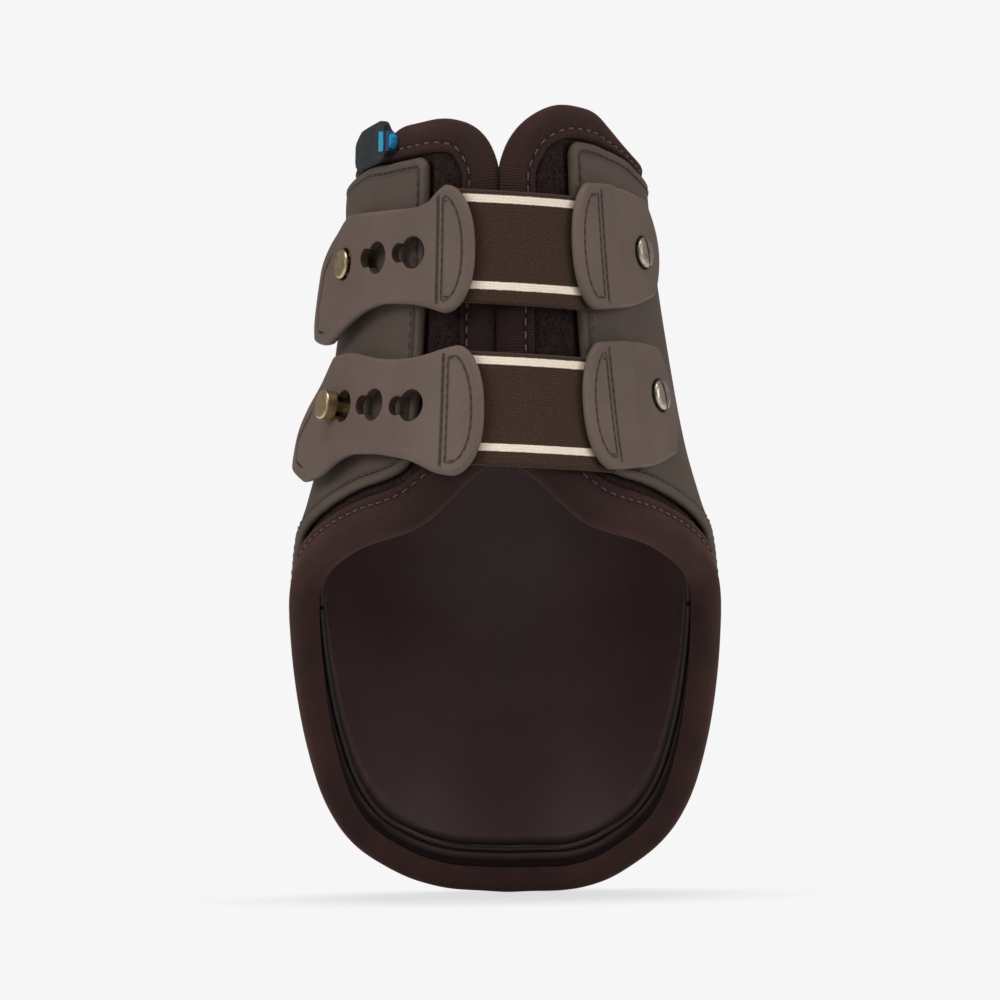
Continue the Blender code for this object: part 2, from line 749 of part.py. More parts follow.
def make_strap(side, strap, shell, mesh, boot, cutters, finishes):
    """One strap: webbing, keyhole tab, anchor tab, stud, washer, screw and post, with its pivots."""
    centre = boot_height * strap["centre_share"]
    frames = keyhole_frames(strap)
    theta, height, inner = keyhole_tab_grid(strap)
    tab = sheet(f"{side}_keyhole_tab", theta[:, ::-1], height[:, ::-1], inner[:, ::-1], tab_thickness, boot,
                finishes["tab"])
    for number, frame in enumerate(frames):
        cut(tab, keyhole_cutter(f"{side}_keyhole_{number + 1}", frame, cutters))
    thread = tab_outer + fit_gap + thread_radius
    path = d_stitch(theta, height, thread, strap["groove_angle"])
    tab_thread = tube(f"{side}_tab_stitching", path, thread_radius, boot, finishes["thread"], True, 0)

    half = webbing_width / 2
    ends = math.radians(-strap["groove_angle"]), math.radians(anchor_groove_angle)
    rows = np.linspace(-half, half, webbing_rows + 1)[:, None]
    turn = np.linspace(*ends, webbing_columns + 1) + 0 * rows
    webbing = sheet(f"{side}_elastic", turn, centre + rows + 0 * turn, webbing_inner, webbing_thickness, boot,
                    finishes["elastic"])

    theta, height, inner = anchor_tab_grid(strap)
    anchor = sheet(f"{side}_anchor_tab", theta, height, inner, tab_thickness, boot, finishes["tab"])
    path = d_stitch(theta, height, thread, anchor_groove_angle)
    tube(f"{side}_anchor_stitching", path, thread_radius, boot, finishes["thread"], True, 0)

    make_stud(f"{side}_stud", frames[0], boot, finishes["brass"])
    make_washer(f"{side}_stud_washer", frames[0], boot, finishes["steel"])
    seat = place_on(math.radians(strap["screw_angle"]), centre + tab_height * strap["screw_share"])
    make_post(f"{side}_screw_post", seat, boot, finishes["steel"])
    make_screw(f"{side}_anchor_screw", seat, boot, cutters, finishes["nickel"])

    low, high = backing_bottom - cut_overrun, anchor_outer + cut_overrun
    pocket = flange_radius + 2 * fit_gap
    well_low = foam_outer - cut_overrun
    for frame, bore, name in ((frames[0], stud_shank_radius, "stud"), (seat, post_radius, "post")):
        hole = round_cutter(f"{side}_{name}_hole", frame, bore + fit_gap, low, high, cutters)
        cut(shell, hole)
        if name == "post":
            cut(anchor, hole)
        well = round_cutter(f"{side}_{name}_well", frame, pocket, well_low, cut_overrun, cutters)
        cut(mesh, well)

    swing = pivot(f"{side}_swing_pivot", swing_place(strap), boot)
    place, radius = stretch_place(strap)
    stretch = pivot(f"{side}_stretch_pivot", place, boot)
    hang(stretch, swing)
    hang(webbing, swing)
    hang(tab, stretch)
    hang(tab_thread, stretch)
    reach = math.degrees(keyhole_travel / radius)
    print(side, "swing axis", np.round(swing_place(strap), 6), "stretch axis", np.round(place, 6))
    print(side, "stretch radius", round(radius, 6), "range", round(reach, 3), "degrees")


def main():
    clear_scene()
    boot = new_collection("fetlock_boot")
    cutters = new_collection("cutters")
    finishes = {
        "shell": finish("moulded_shell", (0.095, 0.070, 0.055), 0.55),
        "tab": finish("moulded_tab", (0.130, 0.095, 0.078), 0.50),
        "mesh": finish("spacer_mesh", (0.022, 0.014, 0.012), 0.95),
        "foam": finish("closed_cell_foam", (0.030, 0.028, 0.026), 0.90),
        "lining": finish("smooth_lining", (0.028, 0.016, 0.016), 0.45),
        "binding": finish("ribbed_binding", (0.045, 0.020, 0.019), 0.85),
        "elastic": finish("elastic_webbing", (0.056, 0.034, 0.024), 0.90),
        "thread": finish("stitching_thread", (0.085, 0.055, 0.042), 0.80),
        "brass": finish("brass", (0.560, 0.430, 0.260), 0.28, 1.0),
        "nickel": finish("nickel", (0.520, 0.450, 0.370), 0.30, 1.0),
        "steel": finish("zinc_steel", (0.450, 0.450, 0.460), 0.40, 1.0),
        "label": finish("label_cloth", (0.050, 0.060, 0.065), 0.85),
    }
    shell, mesh = make_body(boot, finishes)
    make_label(boot, finishes)
    for side, strap in straps.items():
        make_strap(side, strap, shell, mesh, boot, cutters, finishes)


main()
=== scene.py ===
"""Looks of a hind fetlock boot: padded body, moulded shell, rolled edge and two elastic straps.

Metres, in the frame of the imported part: +Z up along the leg, the open front towards -Y. A place on the
boot is an angle round the leg (0 at the front, positive towards +X), a height, and an offset out of the
mesh face along its normal.
"""
import math

import bmesh
import bpy
import mathutils
import numpy as np
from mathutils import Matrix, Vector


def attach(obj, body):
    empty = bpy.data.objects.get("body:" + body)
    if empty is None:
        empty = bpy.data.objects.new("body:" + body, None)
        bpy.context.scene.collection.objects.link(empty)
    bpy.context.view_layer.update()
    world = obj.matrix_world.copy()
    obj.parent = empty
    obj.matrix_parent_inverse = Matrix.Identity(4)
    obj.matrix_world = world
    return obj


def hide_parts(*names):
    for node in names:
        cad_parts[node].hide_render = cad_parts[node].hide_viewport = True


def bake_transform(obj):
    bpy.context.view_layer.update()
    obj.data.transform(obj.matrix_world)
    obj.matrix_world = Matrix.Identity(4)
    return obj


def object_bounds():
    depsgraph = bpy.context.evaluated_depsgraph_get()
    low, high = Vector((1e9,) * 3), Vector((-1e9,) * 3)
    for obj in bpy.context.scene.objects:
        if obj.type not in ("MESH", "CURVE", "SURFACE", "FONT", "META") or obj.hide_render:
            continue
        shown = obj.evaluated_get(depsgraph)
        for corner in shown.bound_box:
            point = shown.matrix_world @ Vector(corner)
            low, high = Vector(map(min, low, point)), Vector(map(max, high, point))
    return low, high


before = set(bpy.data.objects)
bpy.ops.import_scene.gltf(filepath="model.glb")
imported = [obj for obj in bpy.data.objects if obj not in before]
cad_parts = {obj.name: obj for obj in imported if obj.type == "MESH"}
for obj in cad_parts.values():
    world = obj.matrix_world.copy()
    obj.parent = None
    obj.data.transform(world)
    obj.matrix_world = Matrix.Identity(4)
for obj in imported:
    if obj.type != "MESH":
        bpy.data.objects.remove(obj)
cad_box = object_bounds()

mm = 0.001

# the body's own sizes, as in the part's source
boot_height = 197.8 * mm
cup_half_width = 52.3 * mm
front_depth = 60.0 * mm
back_depth = 63.0 * mm
station_shares = (0.0, 0.10, 0.25, 0.37, 0.45, 0.50, 0.57, 0.67, 0.80, 0.90, 1.0)
half_width_shares = (0.955, 0.990, 1.0, 0.997, 0.948, 0.887, 0.816, 0.750, 0.683, 0.650, 0.635)
front_depth_shares = (0.80, 0.90, 0.97, 1.0, 0.975, 0.93, 0.86, 0.79, 0.72, 0.69, 0.67)
back_depth_shares = (0.80, 0.93, 1.0, 0.98, 0.93, 0.88, 0.80, 0.73, 0.68, 0.65, 0.64)
section_round_share = 0.35
front_edge_angle = 1.1
top_edge_angles = (1.1, 5, 14, 30, 45, 54, 62, 70, 80, 92, 120, 150, 180)
top_edge_shares = (0.922, 0.950, 0.983, 1.0, 0.994, 0.974, 0.954, 0.942, 0.933, 0.925, 0.897, 0.876, 0.87)
bottom_edge_angles = (1.1, 11, 29, 37, 45, 51, 58, 64, 70, 80, 90, 98, 107, 118, 130, 140, 152, 164, 180)
bottom_edge_shares = (0.568, 0.538, 0.476, 0.464, 0.456, 0.448, 0.437, 0.427, 0.415, 0.392, 0.348,
                      0.280, 0.200, 0.118, 0.0655, 0.0395, 0.0165, 0.0045, 0.0)
left_lobe_drop = 3.5 * mm
right_sag = 1.0 * mm
sag_start_angle = 125.0
lobe_end_angle = 75.0
front_lean = 2.2
lean_height = 140.0 * mm
lean_reach = 26.0 * mm
corner_spread = 1.6 * mm
side_spread = 3.0 * mm
inward_spread = 6.0 * mm
least_lead = 0.75

# layers, as offsets out of the mesh face
layer_gap = 0.5 * mm
fit_gap = 0.3 * mm
lining_face = -5.0 * mm
lining_back = -3.9 * mm
pad_back = -3.5 * mm
pad_face = -0.35 * mm
pad_swell = 0.9 * mm
pad_swell_inset = 8.4 * mm
pad_swell_reach = 3.0 * mm
shell_inner = 0.5 * mm
shell_outer = 2.9 * mm
webbing_inner = 3.4 * mm
webbing_outer = 5.0 * mm
tab_inner = 5.5 * mm
tab_outer = 7.9 * mm
anchor_inner = 3.4 * mm
anchor_outer = 5.8 * mm
stud_flange_bottom = 3.2 * mm
stud_flange_top = 4.2 * mm
backing_bottom = -1.15 * mm

# edge binding, shell edge and welt
binding_width = 8.4 * mm
binding_low_width = 11.0 * mm
binding_side_width = 3.5 * mm
binding_proud = 1.7 * mm
binding_lap = 0.4 * mm
side_binding_angles = (45.0, 66.0)
low_binding_angles = (6.0, 28.0)
shell_margin = 1.8 * mm
shell_front_angle = 28.5
shell_corner = 3.6 * mm
inner_lap_share = 0.43
welt_inset = 9.1 * mm
welt_radius = 0.9 * mm
welt_angle = 54.0
seam_share = 0.73
panel_inset = 11.4 * mm
panel_rise = 1.3 * mm
panel_reach = 75.0 * mm
panel_fade = 25.0 * mm
panel_angles = (40.0, 62.0)
groove_depth = 0.5 * mm
welt_sink = 0.55 * mm
crown_rise = 0.35 * mm
ledge_rise = 0.15 * mm
seam_depth = 0.60 * mm
pucker_depth = 0.06 * mm
pucker_pitch = 3.4 * mm
nose_share = 0.42
facing_swell = 0.102
# heights where the painted shade on the front of the binding, for the straps' shadow, fades in and fades out
shade_start = (108 * mm, 116 * mm)
shade_end = (150 * mm, 158 * mm)
binding_thread_sink = 0.30 * mm
shell_edge_radius = 1.15 * mm
shell_rim_rise = 0.22 * mm
shell_seam_inset = 2.35 * mm
shell_bulge = 1.2 * mm
bulge_height = 174 * mm
bulge_reach = 9 * mm
bulge_angles = (50, 75)

# straps
webbing_width = 28.6 * mm
webbing_slant = 1.3 * mm
slant_turn = math.radians(24)
selvedge_radius = 0.8 * mm
band_rate_turn = 0.2
stripe_places = (12.05 * mm, -9.75 * mm)
stripe_halves = (0.88 * mm, 1.10 * mm)
tab_height = 32.0 * mm
tab_tip_lift = 1.6 * mm
tip_lift_angles = (68.0, 86.0)
tip_place_shares = (-1.0, -0.8, -0.3, 0.3, 0.7, 1.0)
d_round_share = 0.993
d_power = 2.3
line_gap = 0.6 * mm
ring_gap = 1.9 * mm
ring_inset = 2.9 * mm
d_panel_drop = 0.16 * mm
tab_edge_radius = 1.1 * mm
hole_edge_drop = 0.40 * mm
hole_edge_reach = 0.7 * mm
grip_angles = (72, 77)
grip_inset = 3.0 * mm
grip_reach = 0.32 * mm
grip_depth = 0.7 * mm
collar_gap = 0.55 * mm
line_overrun = 1.2 * mm
anchor_d_angles = (23.0, 29.5)
anchor_edge_angles = (23, 30, 48, 60, 76)
anchor_settle_angles = (39.0, 47.0)
bend_angles = (13.0, 22.6)
stud_head_radius = 3.7 * mm
head_gap = 0.3 * mm
stud_neck_radius = 2.1 * mm
stud_shank_radius = 1.7 * mm
flange_radius = 4.5 * mm
keyhole_clearance = 0.35 * mm
keyhole_travel = 5.2 * mm
keyhole_pitch = 14.0 * mm
screw_head_radius = 3.8 * mm
screw_head_height = 1.2 * mm
screw_shank_radius = 1.4 * mm
slot_width = 0.9 * mm
slot_depth = 0.8 * mm
slot_lean = math.radians(8)

# folded label: angles along it, with the heights of its top and its bottom in millimetres
label_angles = (-75.6, -74.5, -71, -67.5, -59.5, -52.1, -49, -47.3, -45.3, -43.6)
label_tops = (188.4, 189.4, 190.9, 192.2, 193.4, 194.5, 194.3, 192.4, 191.5, 190.3)
label_bottoms = (184.5, 183.2, 182.1, 182.3, 183.1, 184.2, 184.9, 185.7, 186.9, 188.6)
label_stand = 0.9 * mm
label_half_thickness = 0.40 * mm
label_fold_swell = 0.75 * mm
label_edge_radius = 0.45 * mm

# blue bands of the label: place, half width where solid, half width where gone, and colour
label_bands = (
    (17.6 * mm, 1.35 * mm, 1.55 * mm, (0.020, 0.330, 0.560)),
    (21.6 * mm, 0.60 * mm, 0.85 * mm, (0.010, 0.060, 0.190)),
    (23.7 * mm, 0.90 * mm, 1.15 * mm, (0.012, 0.260, 0.520)),
)

# threads: distance from stitch to stitch, length and radius of a stitch
binding_stitch = (3.3 * mm, 2.3 * mm, 0.26 * mm)
shell_stitch = (2.7 * mm, 1.9 * mm, 0.20 * mm)
tab_stitch = (2.5 * mm, 1.8 * mm, 0.20 * mm)
stitch_sink = 0.15 * mm

# the two straps
straps = {
    "upper": {
        "centre": 0.8175 * boot_height,
        "tip_angles": (70, 83, 87, 85, 77, 63),
        "edge_angles": (7, 13, 16.5, 20, 23, 29, 38, 46, 55, 65, 75, 86),
        "top_shares": (0.50, 0.502, 0.492, 0.430, 0.36, 0.321, 0.312, 0.303, 0.295, 0.28, 0.22, 0.17),
        "bottom_shares": (-0.52, -0.525, -0.518, -0.490, -0.468, -0.44, -0.43, -0.465, -0.55, -0.67,
                          -0.77, -0.81),
        "stud_angle": 63.2,
        "keyhole_height_shares": (-0.103, -0.063, -0.032),
        "d_end_angles": (7.3, 16.5),
        "groove_angle": 19.2,
        "screw_share": -0.04,
        "screw_angle": 58.9,
        "anchor_far_angles": (76.0, 66.0),
        "anchor_tops": (0.46, 0.50, 0.47, 0.41, 0.33),
        "anchor_bottoms": (0.46, 0.50, 0.47, 0.41, 0.33),
        "anchor_groove_angle": 35.0,
        "first_pitch": 11.5 * mm,
        "stud_travel": -2.4 * mm,
        "stud_proud": 1.1 * mm,
    },
    "lower": {
        "centre": 0.6133 * boot_height,
        "tip_angles": (73, 84, 88, 80, 71, 64),
        "edge_angles": (4.5, 9, 12.5, 17, 21, 26, 32, 39, 46, 54, 63, 75, 86),
        "top_shares": (0.50, 0.505, 0.492, 0.465, 0.435, 0.41, 0.40, 0.408, 0.435, 0.46, 0.44, 0.36, 0.30),
        "bottom_shares": (-0.52, -0.53, -0.535, -0.515, -0.465, -0.405, -0.37, -0.347, -0.345, -0.405,
                          -0.52, -0.565, -0.56),
        "stud_angle": 59.2,
        "keyhole_height_shares": (0.04, 0.045, 0.031),
        "d_end_angles": (4.7, 12.5),
        "groove_angle": 16.4,
        "screw_share": 0.10,
        "screw_angle": 57.5,
        "anchor_far_angles": (70.0, 62.0),
        "anchor_tops": (0.46, 0.51, 0.525, 0.49, 0.38),
        "anchor_bottoms": (0.46, 0.50, 0.46, 0.38, 0.30),
        "anchor_groove_angle": 33.1,
        "first_pitch": 14.0 * mm,
        "stud_travel": 5.2 * mm,
        "stud_proud": 3.4 * mm,
    },
}

# how finely the surfaces are worked out, and the lengths that their lines are spaced over
wall_gap = 0.2 * mm
wall_columns = 240
wall_girth, wall_height = 260 * mm, 130 * mm
shell_girth, shell_height = 250 * mm, 120 * mm
keyhole_tab_length, anchor_tab_length = 58 * mm, 42 * mm
label_length, label_height = 20 * mm, 9 * mm
sharp_angle, metal_sharp_angle = 35, 22
rim_points = 640
tab_step = 0.28 * mm
outline_columns = 400
outline_front_points = 60
edge_lines = np.array((0.0, 0.05, 0.16, 0.33, 0.56, 0.84, 1.2)) * mm
probe_angle = math.radians(0.5)
probe_height = boot_height / 400
walk_steps = 10


# the form of the body

def smooth_curve(places, xs, ys):
    """Value of a smooth curve through the points (xs, ys): cubic between them, with no overshoot."""
    xs = np.asarray(xs, float)
    ys = np.asarray(ys, float)
    steps = np.diff(xs)
    slopes = np.diff(ys) / steps
    tangents = np.zeros_like(ys)
    same_way = slopes[:-1] * slopes[1:] > 0
    weighted = 2 * slopes[:-1] * slopes[1:] / np.where(same_way, slopes[:-1] + slopes[1:], 1)
    tangents[1:-1] = np.where(same_way, weighted, 0)
    tangents[0], tangents[-1] = slopes[0], slopes[-1]
    places = np.clip(places, xs[0], xs[-1])
    k = np.clip(np.searchsorted(xs, places, side="right") - 1, 0, len(steps) - 1)
    t = (places - xs[k]) / steps[k]
    rise = ys[k + 1] - ys[k]
    start, end = tangents[k] * steps[k], tangents[k + 1] * steps[k]
    return ys[k] + t * start + t * t * (3 * rise - 2 * start - end) + t**3 * (start + end - 2 * rise)


def ease(value, start, end):
    """0 before start, 1 after end, and a smooth rise between."""
    t = np.clip((np.asarray(value, float) - start) / (end - start), 0, 1)
    return t * t * (3 - 2 * t)


def folded(theta):
    """The angle from the front, in degrees from 0 to 180, whichever side it is on."""
    turn = np.degrees(np.asarray(theta, float)) % 360
    return np.minimum(turn, 360 - turn)


def is_left(theta):
    return np.degrees(np.asarray(theta, float)) % 360 > 180


def unit(vectors, axis=-1):
    """The vectors brought to a length of 1."""
    return vectors / np.linalg.norm(vectors, axis=axis, keepdims=True)


def pairs(first, second):
    """Two rows or grids of coordinates joined into pairs."""
    return np.stack(np.broadcast_arrays(first, second), -1)


def path_length(path):
    """Distance gone along a path at each of its points."""
    return np.append(0, np.cumsum(np.linalg.norm(np.diff(path, axis=0), axis=1)))


def skin(theta, height):
    """Point on the mesh face: x is the half width times the sine of the angle, y runs to the front and
    back depths with the cosine, squared in part at the front so that the section is pointed there."""
    theta, height = np.broadcast_arrays(np.asarray(theta, float), np.asarray(height, float))
    share = height / boot_height
    half = cup_half_width * smooth_curve(share, station_shares, half_width_shares)
    front = front_depth * smooth_curve(share, station_shares, front_depth_shares)
    back = back_depth * smooth_curve(share, station_shares, back_depth_shares)
    c = np.cos(theta)
    nose = -front * (section_round_share * c + (1 - section_round_share) * c * c)
    return np.stack([half * np.sin(theta), np.where(c > 0, nose, -back * c), height], -1)


def normal(theta, height):
    """Outward normal of the mesh face: the cross product of small steps round and up."""
    across = skin(theta + probe_angle, height) - skin(theta - probe_angle, height)
    up = skin(theta, height + probe_height) - skin(theta, height - probe_height)
    return unit(np.cross(across, up))


def surface(theta, height, offset=0.0):
    """Point at an offset out of the mesh face."""
    offset = np.asarray(offset, float) + np.zeros(np.broadcast(theta, height).shape)
    return skin(theta, height) + normal(theta, height) * offset[..., None]


def girth_rate(theta, height, offset=0.0):
    """Distance round the leg for each radian."""
    step = surface(theta + probe_angle, height, offset) - surface(theta - probe_angle, height, offset)
    return np.linalg.norm(step, axis=-1) / (2 * probe_angle)


def walk(theta, height, distance, offset=0.0):
    """The angle reached by going a distance round the leg at one height, in small steps."""
    for _ in range(walk_steps):
        theta = theta + distance / walk_steps / girth_rate(theta, height, offset)
    return theta


def top_edge(theta):
    """Height of the top edge: two lobes at the front, the left one lower, falling to the back."""
    turn = folded(theta)
    height = boot_height * smooth_curve(turn, top_edge_angles, top_edge_shares)
    bump = np.sin(math.pi * np.clip(turn / lobe_end_angle, 0, 1)) ** 2
    return height - left_lobe_drop * bump * is_left(theta)


def bottom_edge(theta):
    """Height of the bottom edge, which falls from the front to the back of the cup, more on the right."""
    turn = folded(theta)
    sag = np.sin(math.pi * np.clip((turn - sag_start_angle) / (180 - sag_start_angle), 0, 1)) ** 2
    height = boot_height * smooth_curve(turn, bottom_edge_angles, bottom_edge_shares)
    return height - right_sag * sag * (1 - is_left(theta))


def softened(values, step, spread):
    """A closed row of values blurred along its length by a bell curve, as a product of its spectrum."""
    waves = np.fft.fftfreq(len(values), step)
    bell = np.exp(-2 * (math.pi * waves * spread) ** 2)
    return np.real(np.fft.ifft(np.fft.fft(values) * bell))


def make_rim():
    """The boot's edge as a closed loop of even steps: up the right front, round the top to the left,
    down the left front and back round the bottom. Corners are softened."""
    first = math.radians(front_edge_angle)
    turns = np.linspace(0, 1, outline_columns + 1)
    round_leg = first + (2 * math.pi - 2 * first) * turns
    rise = np.linspace(0, 1, outline_front_points + 2)[1:-1]
    low, high = bottom_edge(first), top_edge(first)
    low_left, high_left = bottom_edge(-first), top_edge(-first)
    right, left = np.full(len(rise), first), np.full(len(rise), 2 * math.pi - first)
    turn = np.concatenate([right, round_leg, left, round_leg[::-1]])
    height = np.concatenate([low + (high - low) * rise, top_edge(round_leg),
                             high_left + (low_left - high_left) * rise, bottom_edge(round_leg)[::-1]])
    is_top = np.zeros(len(turn))
    is_top[len(rise):len(rise) + len(round_leg)] = 1
    shut = np.append(turn, turn[0]), np.append(height, height[0]), np.append(is_top, is_top[0])
    rate = girth_rate(shut[0], shut[1])
    run = np.hypot(np.diff(shut[0]) * rate[1:], np.diff(shut[1]))
    gone = np.append(0, np.cumsum(run))
    even = np.arange(rim_points) / rim_points * gone[-1]
    step = gone[-1] / rim_points
    turn, height = (softened(np.interp(even, gone, row), step, corner_spread) for row in shut[:2])
    is_top = softened(np.interp(even, gone, shut[2]), step, side_spread)
    rate = girth_rate(turn, height)
    along = np.stack([(np.roll(turn, -1) - np.roll(turn, 1)) * rate, np.roll(height, -1) - np.roll(height, 1)])
    along = unit(along, 0)
    exact = np.stack([along[1], -along[0]])
    inward = unit(np.stack([softened(row, step, inward_spread) for row in exact]), 0)
    inward = inward / np.clip((inward * exact).sum(0), least_lead, 1)
    narrow = ease(folded(turn), *side_binding_angles) * np.clip(is_top, 0, 1)
    wide = ease(folded(turn), *low_binding_angles) * np.clip(1 - is_top, 0, 1)
    width = (binding_width + (binding_side_width - binding_width) * narrow
             + (binding_low_width - binding_width) * wide)
    ends = gone[[0, len(rise), len(rise) + len(round_leg) - 1, 2 * len(rise) + len(round_leg)]]
    corners = np.round(ends / step).astype(int) % rim_points
    return {"turn": turn, "height": height, "inward": inward, "width": width, "gone": even,
            "length": gone[-1], "corners": corners}


rim = make_rim()


def inset(distance):
    """The rim moved into the boot by a distance, given for each of its points."""
    turn, height = np.broadcast_arrays(rim["turn"], distance)[0], rim["height"]
    return walk(turn, height + 0 * distance, rim["inward"][0] * distance), height + rim["inward"][1] * distance


def level(theta, edge, stretch):
    """Height of one stretch of an inset rim at the given angles."""
    turned, raised = edge[0][stretch], edge[1][stretch]
    order = np.argsort(turned)
    return np.interp(theta, turned[order], raised[order])


def stretches():
    """Point numbers of the rim's right front, top and bottom, the last two both from right to left."""
    start, right_top, left_top, left_low = rim["corners"]
    return np.arange(start, right_top + 1), np.arange(right_top, left_top + 1), \
        np.append(np.arange(left_low, rim_points), start)[::-1]


def spaced(count, length, lines=edge_lines):
    """Shares from 0 to 1 in even steps, with close lines at both ends."""
    near = lines / length
    return np.concatenate([near[:-1], np.linspace(near[-1], 1 - near[-1], count), (1 - near[:-1])[::-1]])


def resampled(row, shares):
    return np.interp(shares, np.linspace(0, 1, len(row)), row)


def leaned(theta, height):
    """The angle after the two front edges have leaned a little to the left, most between the straps."""
    lean = np.exp(-(((height - lean_height) / lean_reach) ** 2)) * (1 - ease(folded(theta), 5, 26))
    return theta - math.radians(front_lean) * lean


def wall_grid(gap, columns, rows):
    """Angles and heights of a grid over the whole body, its edge a gap inside the binding's edge.

    Each column runs from the rim's bottom to its top, and the first and last lean with the front edge.
    """
    edge = inset(rim["width"] + gap)
    front, top, bottom = stretches()
    low_turn, low = (resampled(row[bottom], columns) for row in edge)
    high_turn, high = (resampled(row[top], columns) for row in edge)
    height = low + (high - low) * rows[:, None]
    theta = low_turn + (high_turn - low_turn) * rows[:, None]
    first = np.interp(height[:, 0], edge[1][front], edge[0][front])
    theta = theta + (first - theta[:, 0])[:, None] * (1 - 2 * columns)
    return theta, height


def distance_to(path, points):
    """Least distance from each point to the segments of a path."""
    start, run = path[:-1], np.diff(path, axis=0)
    long = np.maximum((run**2).sum(1), 1e-12)
    flat = points.reshape(-1, 3)
    least = []
    for part in np.array_split(flat, max(1, len(flat) * len(start) // 2_000_000)):
        gap = part[:, None] - start
        t = np.clip((gap * run).sum(-1) / long, 0, 1)
        least.append(np.linalg.norm(gap - run * t[..., None], axis=-1).min(1))
    return np.concatenate(least).reshape(points.shape[:-1])


def from_border(points):
    """Distance of each point of a grid from the grid's own border."""
    line = border(*points.shape[:2])
    return distance_to(points.reshape(-1, 3)[np.append(line, line[0])], points)


# meshes

def grid_faces(rows, columns, first=0, flip=False):
    """Quads of a grid of points, facing out of the boot unless flipped."""
    k = first + np.arange(rows * columns).reshape(rows, columns)
    quads = np.stack([k[:-1, :-1], k[:-1, 1:], k[1:, 1:], k[1:, :-1]], -1).reshape(-1, 4)
    return quads[:, ::-1] if flip else quads


def border(rows, columns):
    """Numbers of a grid's border points, once round."""
    k = np.arange(rows * columns).reshape(rows, columns)
    return np.concatenate([k[0], k[1:, -1], k[-1, -2::-1], k[-2:0:-1, 0]])


def piece(name, points, faces, material, uv=None, marks=None, sharp=sharp_angle):
    """A mesh object at the origin, its doubled points merged, with a UV map and point attributes."""
    mesh = bpy.data.meshes.new(name)
    mesh.from_pydata(points.reshape(-1, 3), [], faces.tolist())
    if uv is not None:
        corner = np.empty(len(mesh.loops), np.int32)
        mesh.loops.foreach_get("vertex_index", corner)
        mesh.uv_layers.new(name="UVMap").data.foreach_set("uv", uv.reshape(-1, 2)[corner].ravel())
    for mark, values in (marks or {}).items():
        layer = mesh.attributes.new(mark, "FLOAT", "POINT")
        layer.data.foreach_set("value", np.ascontiguousarray(values, np.float32).ravel())
    shape = bmesh.new()
    shape.from_mesh(mesh)
    bmesh.ops.remove_doubles(shape, verts=shape.verts, dist=2e-7)
    bmesh.ops.dissolve_degenerate(shape, edges=shape.edges, dist=1e-7)
    bmesh.ops.recalc_face_normals(shape, faces=shape.faces)
    shape.to_mesh(mesh)
    shape.free()
    mesh.materials.append(material)
    mesh.shade_smooth()
    mesh.set_sharp_from_angle(angle=math.radians(sharp))
    thing = bpy.data.objects.new(name, mesh)
    bpy.context.scene.collection.objects.link(thing)
    return thing


def plate(name, theta, height, outer, inner, material, uv, marks=None):
    """A closed sheet between two offsets over one grid, joined round its border."""
    rows, columns = theta.shape
    outside, inside = surface(theta, height, outer), surface(theta, height, inner)
    count = rows * columns
    ring = border(rows, columns)
    ahead = np.roll(ring, -1)
    wall = np.stack([ring, ring + count, ahead + count, ahead], -1)
    faces = np.vstack([grid_faces(rows, columns), grid_faces(rows, columns, count, True), wall])
    points = np.concatenate([outside.reshape(-1, 3), inside.reshape(-1, 3)])
    uv = np.concatenate([uv.reshape(-1, 2)] * 2)
    marks = {mark: np.concatenate([values.ravel()] * 2) for mark, values in (marks or {}).items()}
    return piece(name, points, faces, material, uv, marks)


def rounding(distance, radius):
    """0 at an edge, rising to 1 at the radius along a quarter circle."""
    near = 1 - np.clip(distance / radius, 0, 1)
    return np.sqrt(1 - near * near)


def placed(theta, height, offset=0.0):
    """Where something stands on the boot: its origin, and unit vectors to the right, up and out."""
    out = normal(theta, height)
    right = unit(np.cross((0, 0, 1), out))
    return surface(theta, height, offset), np.array([right, np.cross(out, right), out])


def spun(name, profile, seat, material, steps=96):
    """A profile of radii and heights turned once round the outward axis of its seat."""
    turn = np.linspace(0, 2 * math.pi, steps + 1)[:, None]
    radius, height = np.array(profile, float).T
    local = np.stack([radius * np.cos(turn), radius * np.sin(turn), height + 0 * turn], -1)
    points = seat[0] + local @ seat[1]
    return piece(name, points, grid_faces(*local.shape[:2]), material, sharp=metal_sharp_angle)


def prism(outline, low, high, seat):
    """A cutter: an outline of x and y raised between two heights along its seat's outward axis."""
    count = len(outline)
    flat = np.concatenate([np.c_[outline, np.full(count, low)], np.c_[outline, np.full(count, high)]])
    k = np.arange(count)
    walls = np.stack([k, np.roll(k, -1), np.roll(k, -1) + count, k + count], -1).tolist()
    mesh = bpy.data.meshes.new("cutter")
    mesh.from_pydata(seat[0] + flat @ seat[1], [], walls + [k[::-1].tolist(), (k + count).tolist()])
    thing = bpy.data.objects.new("cutter", mesh)
    bpy.context.scene.collection.objects.link(thing)
    return thing


def carve(thing, cutters):
    """Takes the cutters out of a piece, and leaves it a plain mesh."""
    for cutter in cutters:
        hole = thing.modifiers.new("hole", "BOOLEAN")
        hole.solver = "EXACT"
        hole.object = cutter
    bpy.context.view_layer.update()
    mesh = bpy.data.meshes.new_from_object(thing.evaluated_get(bpy.context.evaluated_depsgraph_get()))
    thing.modifiers.clear()
    thing.data = mesh
    mesh.set_sharp_from_angle(angle=math.radians(sharp_angle))
    for cutter in cutters:
        bpy.data.objects.remove(cutter, do_unlink=True)


